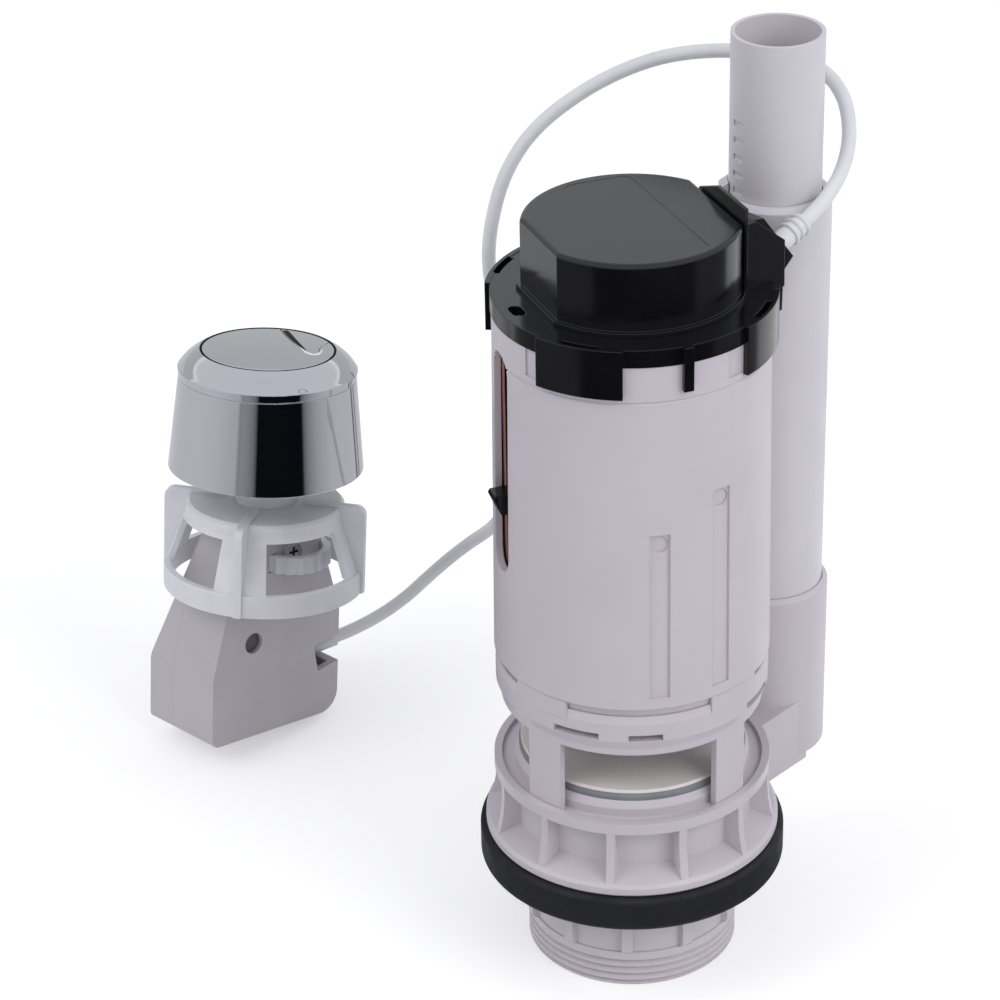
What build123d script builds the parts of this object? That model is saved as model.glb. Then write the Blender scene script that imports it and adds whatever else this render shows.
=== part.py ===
from build123d import *
from math import atan2, degrees, pi, radians, tan
import os

os.makedirs("parts", exist_ok=True)

# Frame: origin on the outlet axis at the bottom of the tail, +Z up, overflow tube towards +Y.
# The button unit is described upright on its own axis and leans as a whole when it is placed.

# Outlet tail and its thread
bore_radius = 25.5
thread_radius = 29.8
thread_pitch = 2.309
thread_depth = 1.25
thread_turns = 4
thread_runout = 0.5
tail_chamfer = 0.5
tail_band = 1.7
shank_radius = 29.4
tail_ribs = 11
tail_rib_width = 3.3
tail_rib_height = 1.5
tail_rib_lead = 1.2
tail_rib_foot = 0.6
tail_rib_sink = 1.0
tail_rib_angle = -47.4

# Sealing washer under the flange
washer_radius = 43.3
washer_bottom = 28.3
washer_thickness = 10.2
washer_grip = 0.1
washer_edge = 1.6
washer_rib_clearance = 0.4

# Cup above the flange, with its ribs and the valve seat
flange_radius = 41.6
flange_thickness = 3.7
flange_edge = 0.9
cup_radius = 34.0
cup_floor_rise = 2.4
lip_radius = 38.9
lip_rise = 1.2
lip_drop = 2.3
ledge_radius = 36.7
ledge_height = 59.8
cup_ribs = 12
cup_rib_angle = -53.65
cup_rib_thickness = 2.4
cup_rib_bow = 1.2
cup_rib_sink = 0.5
seat_radius = 33.2
seat_inner_radius = 30.6
seat_rise = 4.5
seat_width = 1.4
seat_bevel = 2.0
funnel_depth = 11.8
funnel_top_radius = 29.5
guide_hub_radius = 6.0
guide_height = 8.5
guide_drop = 2.8
guide_arm_step = 2.0
guide_arm_thickness = 2.0
guide_arm_angles = (-90, 30, 150)

# Elbow that carries the overflow
overflow_distance = 55.0
collar_radius = 17.3
collar_top = 96.0
collar_chamfer = 1.2
collar_foot = 2.4
channel_half_width = 16.9
channel_rise = 1.8
channel_lap = 2.0
channel_roof = 4.8
channel_floor = 4.5
channel_passage = 9.0
elbow_bore_radius = 13.5
sleeve_seat_height = 66.0
ring_clearance = 0.7

# Post ring that stands on the ledge
posts = 4
post_angle = -86.5
post_width = 18.5
post_head_width = 27.5
post_radius = 36.6
post_thickness = 2.2
ring_radius = 38.0
ring_bottom = 82.15
ring_flare_bottom = 84.2
ring_flare_top = 87.2
ring_seat = 91.7
ring_shoulder = 92.6
ring_top = 95.0
ring_lip_wall = 0.5
ring_slot_bottom = 87.4
ring_slot_top = 89.3
ring_slots = ((7.7, 20.1), (40.2, 14.2))
ring_toe_sweep = 2.6
ring_toe_drop = 0.5
ring_toe_height = 0.9

# Body tube
body_bottom = 97.7
body_bottom_radius = 38.3
body_bottom_wall = 2.1
body_top = 200.5
body_top_radius = 37.3
body_top_wall = 2.0
body_taper_drop = 10.9
rim_groove = 0.4
head_clearance = 0.2
head_step = 0.1
skirt_clearance = 0.2
skirt_wall = 1.4
bayonet_recess = 0.5
bayonet_sweep = 8.0
bayonet_height = 8.2
groove_depth = 0.7
groove_width = 8.3
grooves = ((-33.6, 101.0, 151.0), (-6.0, 101.0, 161.0))
dimple_radius = 2.4
dimple_drop = 3.0
dimple_depth = 0.5
slot_angle = -114.0
slot_width = 10.5
slot_bottom = 127.3
slot_top = 193.0

# Locking ring on top of the body
lock_overhang = 0.3
lock_thickness = 5.0
lock_tabs = 4
lock_tab_thickness = 1.55
lock_tab_clearance = 0.15
lock_tab_width = 36.0
lock_tab_angle = -66.4
lock_tab_bottom = 191.8
lock_tab_rise = 0.2
pointer_angle = -22.7
pointer_width = 4.0
pointer_bottom = 193.0
lock_skirt_bottom = 194.5
lock_skirt_wall = 1.7
lock_floor_thickness = 2.0
lock_floor_radius = 26.5
lock_hole_angle = -109.4
lock_hole_inset = 4.2
lock_hole_length = 6.2
lock_hole_width = 3.6
lock_peg_radius = 1.2
lock_peg_drop = 1.2
lock_slot_sweep = 16.0
lock_slot_inset = 1.0
lock_slot_width = 1.8
lock_slot_depth = 3.0

# Cap over the lever
cap_radius = 29.3
cap_height = 20.0
cap_wall = 1.8
cap_edge = 1.2
cap_foot = 1.2
cap_flats = ((69.5, 24.6), (-110.5, 26.65))

# Valve stem, seal and floats
stem_radius = 4.0
stem_tip_radius = 3.0
stem_bottom = 49.0
stem_clearance = 0.6
guide_clearance = 0.3
valve_lift = 8.0
seal_radius = 31.9
seal_gap = 0.05
seal_thickness = 2.0
seal_bevel = 0.7
retainer_edge_inset = 0.5
retainer_edge = 1.1
retainer_dish = 0.5
retainer_hub_wall = 2.0
retainer_hub_spread = 6.0
retainer_hub_height = 7.6
float_radius = 32.5
float_wall = 1.5
float_bottom = 116.0
float_top_drop = 11.5
float_hub_wall = 2.5
float_hub_height = 12.0
float_edge = 1.0
slider_tab_bottom = 145.3
slider_tab_height = 6.2
slider_tab_width = 5.0
slider_tab_reach = 40.4
slider_tab_foot = 38.2
slider_tab_lead = 1.0
slider_plate_bottom = 140.0
slider_plate_height = 17.0
slider_plate_sweep = 30.0
slider_clearance = 0.4
slider_plate_wall = 1.2

# Lever under the cap that lifts the stem
lever_length = 15.0
lever_swing = 32.0
lever_pivot_rise = 8.5
lever_thickness = 2.4
lever_hub_radius = 2.8
lever_half_width = 9.7
lever_prong_width = 2.0
lever_prong_gap = 4.8
lever_play = 0.5
pin_radius = 1.5
pin_clearance = 0.1
ear_thickness = 2.4
ear_gap = 0.3
ear_half_length = 3.6
stem_collar_radius = 7.0
stem_collar_thickness = 2.0
stem_head = 1.0

# Cable inlet beside the cap
inlet_left = 14.0
inlet_right = 24.0
inlet_pad = 1.0
inlet_cap_gap = 26.0
inlet_plate_distance = 28.5
inlet_plate_thickness = 1.5
inlet_plate_length = 17.0
inlet_plate_height = 19.0
ferrule_radius = 2.8
ferrule_length = 15.0
ferrule_fit = 0.05

# Overflow sleeve and the sliding tube inside it
sleeve_radius = 15.6
sleeve_fit = 0.15
sleeve_top = 216.5
sleeve_chamfer = 1.2
tube_radius = 12.7
tube_wall = 1.2
tube_clearance = 0.25
tube_bottom = 150.0
tube_top = 262.0
rack_angle = -101.0
rack_pitch = 4.87
rack_top = 238.0
rack_width = 4.2
rack_notch_height = 1.6
rack_notch_depth = 0.6
pawl_angle = -135.0
pawl_width = 6.0
pawl_reach = 15.3
pawl_depth = 3.0
pawl_edge_rise = 0.8
pawl_rise = 2.8

# Cable from the inlet to the button housing, along points chosen by hand
cable_radius = 2.0
cable_route = [
    (19, 45.5, 215.5),
    (19, 66, 222.2),
    (0, 80.5, 246),
    (-34, 59, 247),
    (-56, 43, 236),
    (-71, 24, 217),
    (-75, 16, 187),
    (-80, 26, 160),
    (-82, 34, 130),
    (-91, 45, 101),
    (-108, 53, 71),
    (-134, 54, 48),
    (-148, 35.5, 25.5),
    (-154, 19.8, 22.8),
]

# Button unit, upright: chrome collar, bezel and two buttons
unit_position = (-157.05, -5.02, 52.55)
unit_lean = (-8.2, -3.82, 0)
chrome_bottom = 38.9
chrome_bottom_radius = 30.04
chrome_top = 67.9
chrome_top_radius = 27.25
chrome_wall = 1.6
chrome_web_bottom = 45.0
chrome_web_thickness = 2.0
chrome_hub_wall = 2.4
chrome_hub_bottom = 42.0
bezel_radius = 27.5
bezel_shoulder = 70.85
bezel_wall = 1.25
bezel_bottom = 58.0
bezel_gap = 0.1
button_radius = 20.1
button_clearance = 0.25
button_bottom = 68.0
button_edge_height = 76.1
button_crown = 0.9
full_travel = 5.5
half_travel = 5.0

# Threaded neck, cage nut and push rods
neck_radius = 9.6
neck_wall = 2.0
neck_fit = 0.05
neck_stand = 4.0
nut_bore_clearance = 0.1
nut_disc_radius = 24.5
nut_disc_bottom = 23.7
nut_disc_top = 27.5
nut_wall = 2.2
nut_ring_radius = 31.1
nut_ring_height = 7.05
nut_skirt_radius = 30.2
nut_windows = 4
nut_window_sweep = 58.0
nut_window_top = 22.0
nut_post_angle = 35.0
nut_fin_thickness = 2.5
nut_fin_radius = 32.0
nut_fin_height = 28.4
nut_fin_start = 12.0
nut_fin_round = 3.0
rod_radius = 1.6
rod_tip_radius = 0.7
rod_clearance = 0.2
full_rod = (-1.2, 3.0)
half_rod = (2.2, 1.1)
half_stem = (2.2, 14.2)
half_bridge_bottom = 57.0
half_bridge_thickness = 2.4

# Lever housing below the lid
housing_front_face = 7.0
housing_bottom = -47.9
housing_top = 18.0
housing_left = -25.5
housing_right = 25.5
housing_left_knee = -25.0
housing_right_knee = -13.5
housing_left_top = -14.7
housing_right_top = 15.5
housing_back = -24.0
housing_back_knee = -27.0
housing_back_top = -11.5
housing_seam = -13.0
housing_wall = 2.5
housing_corner = 2.5
housing_round_corner = 7.0
rocker_pivot = (-9.6, -16.3)
rocker_pin_radius = 3.25
rocker_pin_recess = 1.4
rocker_hub_wall = 2.2
rocker_thickness = 3.0
rocker_half_width = 5.0
rocker_tip = 6.0
rocker_wire_arm = 8.2
rocker_play = 0.5
rocker_back = -9.0
wheel_centre = (4.0, 8.0)
wheel_radius = 12.0
wheel_ring = 2.5
wheel_bottom = 6.0
wheel_top = 11.5
wheel_clearance = 0.3
wheel_lobes = 20
wheel_lobe_radius = 1.6
wheel_lobe_depth = 0.6
wheel_boss_bottom = 2.5
screw_height = 11.2
screw_offset = 4.8
screw_head_radius = 2.8
screw_head_thickness = 1.4
screw_shank_radius = 1.3
screw_shank_length = 3.0
notch_bottom = -31.0
notch_top = -21.8
notch_inner = 16.0
notch_depth = 10.5
notch_tilt = 12.0
cable_seat_thickness = 2.5
cable_seat_start = 17.0

# Heights and places that follow from the sizes above
flange_bottom = washer_bottom + washer_thickness
flange_top = flange_bottom + flange_thickness
lip_bottom = ledge_height - lip_drop
lip_top = ledge_height + lip_rise
seat_height = ledge_height + seat_rise
funnel_bottom = ledge_height - funnel_depth
guide_top = ledge_height - guide_drop
guide_bottom = guide_top - guide_height
thread_height = thread_turns * thread_pitch + thread_runout
cap_bottom = body_top + lock_thickness
cap_top = cap_bottom + cap_height
body_taper_top = body_top - body_taper_drop
body_inner_top_radius = body_top_radius - body_top_wall
body_inner_bottom_radius = body_bottom_radius - body_bottom_wall
lock_radius = body_top_radius + lock_overhang
lock_tab_inner_radius = body_top_radius + lock_tab_clearance
lock_tab_radius = lock_tab_inner_radius + lock_tab_thickness
lever_pivot_height = body_top + lever_pivot_rise
float_top = body_top - float_top_drop
overflow_centre = (0, overflow_distance)
unit_place = Location(unit_position, unit_lean)


def radial_plane(angle):
    """Upright plane through the main axis: x points outward at the angle and y points up."""
    outward = Vector(1, 0, 0).rotate(Axis.Z, angle)
    return Plane(origin=(0, 0, 0), x_dir=outward, z_dir=outward.cross(Vector(0, 0, 1)))


def facing_plane(angle, distance, height=0):
    """Upright plane that faces outward at the angle: x runs sideways and y points up."""
    outward = Vector(1, 0, 0).rotate(Axis.Z, angle)
    sideways = Vector(0, 0, 1).cross(outward)
    return Plane(origin=outward * distance + Vector(0, 0, height), x_dir=sideways, z_dir=outward)


def turned(points, start=0, sweep=360, mode=Mode.ADD):
    """Revolve an outline of (radius, height) points about the main axis."""
    with BuildSketch(radial_plane(start)) as outline:
        with BuildLine():
            Polyline(points, close=True)
        make_face()
    revolve(outline.sketch, axis=Axis.Z, revolution_arc=sweep, mode=mode)


def band(inner, outer, bottom, top, start=0, sweep=360, mode=Mode.ADD):
    """Ring, or part of one, with a square section."""
    corners = [(inner, bottom), (outer, bottom), (outer, top), (inner, top)]
    turned(corners, start, sweep, mode)


def column(centre, radius, bottom, top, mode=Mode.ADD):
    """Upright cylinder."""
    with BuildSketch(Plane.XY.offset(bottom)) as circle:
        with Locations(centre):
            Circle(radius)
    extrude(circle.sketch, amount=top - bottom, mode=mode)


def cross_bar(centre, radius, start, end, mode=Mode.ADD):
    """Cylinder along X, with its centre given as (y, z)."""
    with BuildSketch(Plane.YZ.offset(start)) as circle:
        with Locations(centre):
            Circle(radius)
    extrude(circle.sketch, amount=end - start, mode=mode)


def block(x_range, y_range, z_range, mode=Mode.ADD):
    """Box between two limits on each axis."""
    with BuildSketch(Plane.XY.offset(z_range[0])) as footprint:
        with Locations(((x_range[0] + x_range[1]) / 2, (y_range[0] + y_range[1]) / 2)):
            Rectangle(x_range[1] - x_range[0], y_range[1] - y_range[0])
    extrude(footprint.sketch, amount=z_range[1] - z_range[0], mode=mode)


def rod_along(start, direction, length, radius, mode=Mode.ADD):
    """Cylinder from a point along a direction."""
    with BuildSketch(Plane(origin=start, z_dir=direction)) as circle:
        Circle(radius)
    extrude(circle.sketch, amount=length, mode=mode)


def save(piece, name, place=Location((0, 0, 0))):
    """Label a finished piece, put it in place and write it."""
    placed = place * piece.part
    placed.label = name
    export_step(placed, f"parts/{name}.step")


# Base moulding: tail, flange, ribbed cup, seat and overflow elbow
tail_outline = [(bore_radius, 0), (thread_radius - tail_chamfer, 0), (thread_radius, tail_chamfer)]
for turn in range(thread_turns):
    root_height = (turn + 0.5) * thread_pitch
    tail_outline += [
        (thread_radius, root_height - thread_depth / 2),
        (thread_radius - thread_depth, root_height),
        (thread_radius, root_height + thread_depth / 2),
    ]
band_top = thread_height + tail_band
cup_outline = [
    (thread_radius, band_top),
    (shank_radius, band_top),
    (shank_radius, flange_bottom),
    (flange_radius - flange_edge, flange_bottom),
    (flange_radius, flange_bottom + flange_edge),
    (flange_radius, flange_top - flange_edge),
    (flange_radius - flange_edge, flange_top),
    (cup_radius, flange_top + cup_floor_rise),
    (cup_radius, lip_bottom),
    (lip_radius, lip_bottom),
    (lip_radius, lip_top),
    (ledge_radius, lip_top),
    (ledge_radius, ledge_height),
    (seat_radius, ledge_height),
    (seat_radius, seat_height - seat_bevel),
    (seat_inner_radius + seat_width, seat_height),
    (seat_inner_radius, seat_height),
    (funnel_top_radius, ledge_height),
    (bore_radius, funnel_bottom),
]
tail_rib_outline = [
    (thread_radius - tail_rib_sink, band_top),
    (thread_radius + tail_rib_foot, band_top),
    (thread_radius + tail_rib_height, band_top + tail_rib_lead),
    (thread_radius + tail_rib_height, washer_bottom),
    (thread_radius - tail_rib_sink, washer_bottom),
]
# The elbow channel takes the place of the ribs behind it
channel_spread = degrees(atan2(channel_half_width, cup_radius)) + cup_rib_thickness
cup_rib_angles = [
    angle for angle in (cup_rib_angle + number * 360 / cup_ribs for number in range(cup_ribs))
    if abs(angle - 90) > channel_spread
]

cup_rib_foot = (flange_radius - flange_edge, flange_top - cup_rib_sink)
cup_rib_head = (lip_radius, lip_bottom + cup_rib_sink)
cup_rib_middle = ((lip_radius + flange_radius) / 2 - cup_rib_bow, (lip_bottom + flange_top) / 2)

with BuildPart() as valve_base:
    turned(tail_outline + cup_outline)
    for number in range(tail_ribs):
        with BuildSketch(radial_plane(tail_rib_angle + number * 360 / tail_ribs)):
            with BuildLine():
                Polyline(tail_rib_outline, close=True)
            make_face()
        extrude(amount=tail_rib_width / 2, both=True)
    for angle in cup_rib_angles:
        with BuildSketch(radial_plane(angle)):
            with BuildLine():
                Polyline(
                    cup_rib_foot,
                    (cup_radius - cup_rib_sink, flange_top - cup_rib_sink),
                    (cup_radius - cup_rib_sink, lip_bottom + cup_rib_sink),
                    cup_rib_head,
                )
                ThreePointArc(cup_rib_head, cup_rib_middle, cup_rib_foot)
            make_face()
        extrude(amount=cup_rib_thickness / 2, both=True)
    with BuildSketch(Plane.YZ):
        with BuildLine():
            Polyline(
                (cup_radius - channel_lap, flange_bottom),
                (overflow_distance, flange_bottom + channel_rise),
                (overflow_distance, ledge_height + channel_rise),
                (ledge_radius, ledge_height),
                (cup_radius - channel_lap, ledge_height),
                close=True,
            )
        make_face()
    extrude(amount=channel_half_width, both=True)
    with BuildSketch(Plane.YZ):
        with BuildLine():
            Polyline(
                (overflow_distance, flange_bottom + channel_rise),
                (overflow_distance + collar_radius - collar_foot, flange_bottom + channel_rise),
                (overflow_distance + collar_radius, flange_bottom + channel_rise + collar_foot),
                (overflow_distance + collar_radius, collar_top - collar_chamfer),
                (overflow_distance + collar_radius - collar_chamfer, collar_top),
                (overflow_distance, collar_top),
                close=True,
            )
        make_face()
    revolve(axis=Axis((0, overflow_distance, 0), (0, 0, 1)))
    band(ledge_radius - cup_rib_sink, ring_radius + ring_clearance, lip_top, collar_top + 1,
         mode=Mode.SUBTRACT)
    column(overflow_centre, sleeve_radius + sleeve_fit, sleeve_seat_height, collar_top + 1,
           mode=Mode.SUBTRACT)
    column(overflow_centre, elbow_bore_radius, flange_bottom + channel_floor, collar_top,
           mode=Mode.SUBTRACT)
    block(
        (-channel_passage, channel_passage),
        (bore_radius - channel_roof, overflow_distance),
        (flange_bottom + channel_floor, ledge_height - channel_roof),
        mode=Mode.SUBTRACT,
    )
    column((0, 0), guide_hub_radius, guide_bottom, guide_top)
    for angle in guide_arm_angles:
        with BuildSketch(radial_plane(angle)):
            with Locations((guide_hub_radius - guide_arm_step, guide_bottom + guide_arm_step)):
                Rectangle(cup_radius - guide_hub_radius, guide_height - guide_arm_step,
                          align=(Align.MIN, Align.MIN))
        extrude(amount=guide_arm_thickness / 2, both=True)
    column((0, 0), stem_tip_radius + guide_clearance, guide_bottom, guide_top, mode=Mode.SUBTRACT)
save(valve_base, "valve_base")

# Rubber washer that seals the tail in the cistern
with BuildPart() as sealing_washer:
    washer_bore = shank_radius + washer_grip
    washer_mouth = thread_radius + tail_rib_height + washer_rib_clearance
    turned([
        (washer_bore, washer_bottom + washer_mouth - washer_bore),
        (washer_mouth, washer_bottom),
        (washer_radius, washer_bottom),
        (washer_radius, flange_bottom),
        (washer_bore, flange_bottom),
    ])
    washer_rims = sealing_washer.edges().filter_by(GeomType.CIRCLE).sort_by(SortBy.RADIUS)[-2:]
    fillet(washer_rims, washer_edge)
save(sealing_washer, "sealing_washer")

# Posts on the ledge, the flared ring that joins them and the heads that hold the body
skirt_radius = body_bottom_radius - skirt_wall - head_clearance
ring_inner_radius = post_radius - post_thickness
lip_inner_radius = skirt_radius + skirt_clearance
with BuildPart() as post_ring:
    turned([
        (ring_inner_radius, ring_bottom),
        (post_radius, ring_bottom),
        (post_radius, ring_flare_bottom),
        (ring_radius, ring_flare_top),
        (ring_radius, ring_shoulder),
        (lip_inner_radius + ring_lip_wall, ring_top),
        (lip_inner_radius, ring_top),
        (lip_inner_radius, ring_seat),
        (ring_inner_radius, ring_seat),
    ], start=post_angle)
    for number in range(posts):
        centre = post_angle + number * 360 / posts
        band(ring_inner_radius, post_radius, ledge_height, ring_seat,
             centre - post_width / 2, post_width)
        band(lip_inner_radius + head_step, ring_radius + head_step, ring_seat + head_step,
             body_bottom - head_clearance, centre - post_head_width / 2, post_head_width)
    for number in range(posts):
        centre = post_angle + number * 360 / posts
        for slot_start, slot_sweep in ring_slots:
            band(ring_inner_radius - 1, ring_radius + 1, ring_slot_bottom, ring_slot_top,
                 centre + slot_start, slot_sweep, mode=Mode.SUBTRACT)
        toe_bottom = ring_slot_bottom - ring_toe_drop
        for toe_start in (ring_slots[0][0] + ring_slots[0][1], ring_slots[1][0] - ring_toe_sweep):
            band(ring_inner_radius - 1, ring_radius + 1, toe_bottom, toe_bottom + ring_toe_height,
                 centre + toe_start, ring_toe_sweep, mode=Mode.SUBTRACT)
save(post_ring, "post_ring")

# Seal disc and the dished retainer above it
seal_bottom = seat_height + seal_gap
seal_top = seal_bottom + seal_thickness
with BuildPart() as flush_seal:
    turned([
        (stem_tip_radius, seal_bottom),
        (seal_radius, seal_bottom),
        (seal_radius, seal_bottom + seal_thickness / 2),
        (seal_radius - seal_bevel, seal_top),
        (stem_tip_radius, seal_top),
    ])
save(flush_seal, "flush_seal")

retainer_radius = seal_radius - retainer_edge_inset
retainer_hub_radius = stem_radius + retainer_hub_wall
with BuildPart() as seal_retainer:
    turned([
        (stem_radius, seal_top),
        (retainer_radius, seal_top),
        (retainer_radius, seal_top + retainer_edge),
        (retainer_hub_radius + retainer_hub_spread, seal_top + retainer_edge - retainer_dish),
        (retainer_hub_radius, seal_top + retainer_edge + retainer_hub_wall),
        (retainer_hub_radius, seal_top + retainer_hub_height),
        (stem_radius, seal_top + retainer_hub_height),
    ])
save(seal_retainer, "seal_retainer")

# Stem with the collar that the lever lifts
collar_bottom = lever_pivot_height + lever_thickness / 2 + lever_play
stem_top = collar_bottom + stem_collar_thickness + stem_head
with BuildPart() as valve_stem:
    turned([
        (0, stem_bottom),
        (stem_tip_radius - 1, stem_bottom),
        (stem_tip_radius, stem_bottom + 1),
        (stem_tip_radius, seal_top),
        (stem_radius, seal_top),
        (stem_radius, collar_bottom),
        (stem_collar_radius, collar_bottom),
        (stem_collar_radius, collar_bottom + stem_collar_thickness),
        (stem_radius, collar_bottom + stem_collar_thickness),
        (stem_radius - 1, stem_top),
        (0, stem_top),
    ])
save(valve_stem, "valve_stem")

# Float: an inverted cup with a hub on the stem
with BuildPart() as main_float:
    turned([
        (stem_radius, float_top - float_hub_height),
        (stem_radius + float_hub_wall, float_top - float_hub_height),
        (stem_radius + float_hub_wall, float_top - float_wall),
        (float_radius - float_wall, float_top - float_wall),
        (float_radius - float_wall, float_bottom),
        (float_radius, float_bottom),
        (float_radius, float_top - float_edge),
        (float_radius - float_edge, float_top),
        (stem_radius, float_top),
    ])
save(main_float, "main_float")

# Body tube with its skirt, rim line, two grooves and the long slot
skirt_bottom = ring_seat + skirt_clearance
skirt_inner_radius = skirt_radius - skirt_wall


def body_radius(height):
    """Outer radius of the tapered body tube at a height."""
    share = (height - body_bottom) / (body_taper_top - body_bottom)
    return body_bottom_radius + (body_top_radius - body_bottom_radius) * min(share, 1)


with BuildPart() as body_cylinder:
    turned([
        (skirt_inner_radius, skirt_bottom),
        (skirt_radius, skirt_bottom),
        (skirt_radius, body_bottom),
        (body_bottom_radius, body_bottom),
        (body_top_radius, body_taper_top),
        (body_top_radius - rim_groove, body_taper_top + rim_groove),
        (body_top_radius, body_taper_top + 2 * rim_groove),
        (body_top_radius, body_top),
        (body_inner_top_radius, body_top),
        (body_inner_bottom_radius, body_bottom + 2),
        (skirt_inner_radius, body_bottom),
    ])
    for angle, bottom, top in grooves:
        turned(
            [
                (body_radius(bottom) - groove_depth, bottom),
                (body_radius(bottom) + 1, bottom),
                (body_radius(top) + 1, top),
                (body_radius(top) - groove_depth, top),
            ],
            angle - groove_width / 2, groove_width, mode=Mode.SUBTRACT,
        )
        dimple_height = top - dimple_drop
        with BuildSketch(facing_plane(angle, body_radius(top), dimple_height)):
            Circle(dimple_radius)
        extrude(amount=-groove_depth - dimple_depth, mode=Mode.SUBTRACT)
    for number in range(lock_tabs):
        tab_start = lock_tab_angle - lock_tab_width / 2 + number * 360 / lock_tabs
        band(body_top_radius - bayonet_recess, body_top_radius + 1, body_top - bayonet_height, body_top + 1,
             tab_start - bayonet_sweep, bayonet_sweep, mode=Mode.SUBTRACT)
    with BuildSketch(facing_plane(slot_angle, body_inner_top_radius, (slot_bottom + slot_top) / 2)):
        SlotOverall(slot_top - slot_bottom, slot_width, rotation=90)
    extrude(amount=2 * body_bottom_wall, both=True, mode=Mode.SUBTRACT)
save(body_cylinder, "body_cylinder")

# Slider whose tab shows in the slot and sets the flush volume
slider_outer_radius = body_inner_top_radius - slider_clearance
with BuildPart() as float_slider:
    band(
        slider_outer_radius - slider_plate_wall, slider_outer_radius,
        slider_plate_bottom, slider_plate_bottom + slider_plate_height,
        slot_angle - slider_plate_sweep / 2, slider_plate_sweep,
    )
    slider_tab_top = slider_tab_bottom + slider_tab_height
    slider_tab_root = slider_outer_radius - slider_plate_wall / 2
    with BuildSketch(radial_plane(slot_angle)):
        with BuildLine():
            Polyline(
                (slider_tab_root, slider_tab_bottom),
                (slider_tab_foot, slider_tab_bottom),
                (slider_tab_reach, slider_tab_top - slider_tab_lead),
                (slider_tab_reach - slider_tab_lead / 2, slider_tab_top),
                (slider_tab_root, slider_tab_top),
                close=True,
            )
        make_face()
    extrude(amount=slider_tab_width / 2, both=True)
save(float_slider, "float_slider")

# Locking ring: floor, rim, skirt, bayonet tabs, pointer and the ears of the lever pin
lever_pivot = (lever_length, lever_pivot_height)
ear_inner = lever_half_width + ear_gap
ear_outer = ear_inner + ear_thickness
floor_top = body_top + lock_floor_thickness
lock_skirt_radius = body_inner_top_radius - slider_clearance
with BuildPart() as locking_ring:
    band(stem_radius + stem_clearance, lock_floor_radius + 0.5, body_top, floor_top)
    band(lock_floor_radius, lock_radius, body_top, cap_bottom)
    band(lock_skirt_radius - lock_skirt_wall, lock_skirt_radius, lock_skirt_bottom, body_top + 0.5)
    for number in range(lock_tabs):
        centre = lock_tab_angle + number * 360 / lock_tabs
        band(lock_tab_inner_radius, lock_tab_radius, lock_tab_bottom, cap_bottom + lock_tab_rise,
             centre - lock_tab_width / 2, lock_tab_width)
        band(lock_tab_radius - lock_slot_inset - lock_slot_width, lock_tab_radius - lock_slot_inset,
             cap_bottom - lock_slot_depth, cap_bottom + 1,
             centre - lock_slot_sweep / 2, lock_slot_sweep, mode=Mode.SUBTRACT)
    band(lock_tab_inner_radius, lock_tab_radius, pointer_bottom, cap_bottom,
         pointer_angle - pointer_width / 2, pointer_width)
    lock_hole_distance = body_top_radius - lock_hole_inset
    with BuildSketch(Plane.XY.offset(cap_bottom)):
        with PolarLocations(lock_hole_distance, 1, lock_hole_angle):
            SlotOverall(lock_hole_length, lock_hole_width, rotation=90)
    extrude(amount=-lock_thickness, mode=Mode.SUBTRACT)
    with BuildSketch(Plane.XY.offset(cap_bottom - lock_peg_drop)):
        with PolarLocations(lock_hole_distance, 1, lock_hole_angle):
            with Locations((0, (lock_hole_length - lock_hole_width) / 2)):
                Circle(lock_peg_radius)
    extrude(amount=lock_peg_drop - lock_thickness)
    for side in (-1, 1):
        block(
            sorted((side * ear_inner, side * ear_outer)),
            (lever_length - ear_half_length, lever_length + ear_half_length),
            (floor_top - 0.5, lever_pivot_height + ear_half_length),
        )
    cross_bar(lever_pivot, pin_radius + pin_clearance, -ear_outer, ear_outer, mode=Mode.SUBTRACT)
save(locking_ring, "locking_ring")


def cap_outline(grow, height):
    """Outline of the cap, a circle with two flats, grown or shrunk by an offset."""
    with BuildSketch(Plane.XY.offset(height)) as outline:
        Circle(cap_radius + grow)
        for angle, distance in cap_flats:
            with PolarLocations(distance + grow, 1, angle):
                Rectangle(cap_radius, 2.5 * cap_radius, align=(Align.MIN, Align.CENTER),
                          mode=Mode.SUBTRACT)
    return outline.sketch


with BuildPart() as cap_cover:
    extrude(cap_outline(0, cap_bottom), amount=cap_height)
    top_edges = cap_cover.edges().group_by(Axis.Z)[-1]
    fillet(top_edges, cap_edge)
    extrude(cap_outline(cap_foot, cap_bottom), amount=cap_foot)
    extrude(cap_outline(-cap_wall, cap_bottom), amount=cap_height - cap_wall, mode=Mode.SUBTRACT)
save(cap_cover, "cap_cover")

# Lever: hub on the pin, two prongs under the stem collar and the arm that the wire pulls
wire_arm_height = rocker_wire_arm * full_travel / (full_rod[1] - rocker_pivot[0]) / radians(lever_swing)
with BuildPart() as cap_lever:
    cross_bar(lever_pivot, lever_hub_radius, -lever_half_width, lever_half_width)
    for side in (-1, 1):
        block(
            sorted((side * lever_prong_gap, side * (lever_prong_gap + lever_prong_width))),
            (0, lever_length),
            (lever_pivot_height - lever_thickness / 2, lever_pivot_height + lever_thickness / 2),
        )
    block(
        (-lever_prong_gap - 0.5, lever_prong_gap + 0.5),
        (lever_length - lever_hub_radius - 2.5, lever_length),
        (lever_pivot_height - lever_thickness / 2, lever_pivot_height + lever_thickness / 2),
    )
    block(
        (lever_half_width - lever_prong_width, lever_half_width),
        (lever_length - lever_thickness / 2, lever_length + lever_thickness / 2),
        (lever_pivot_height, lever_pivot_height + wire_arm_height),
    )
    cross_bar(lever_pivot, pin_radius + pin_clearance, -lever_half_width, lever_half_width,
              mode=Mode.SUBTRACT)
save(cap_lever, "cap_lever")

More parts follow.
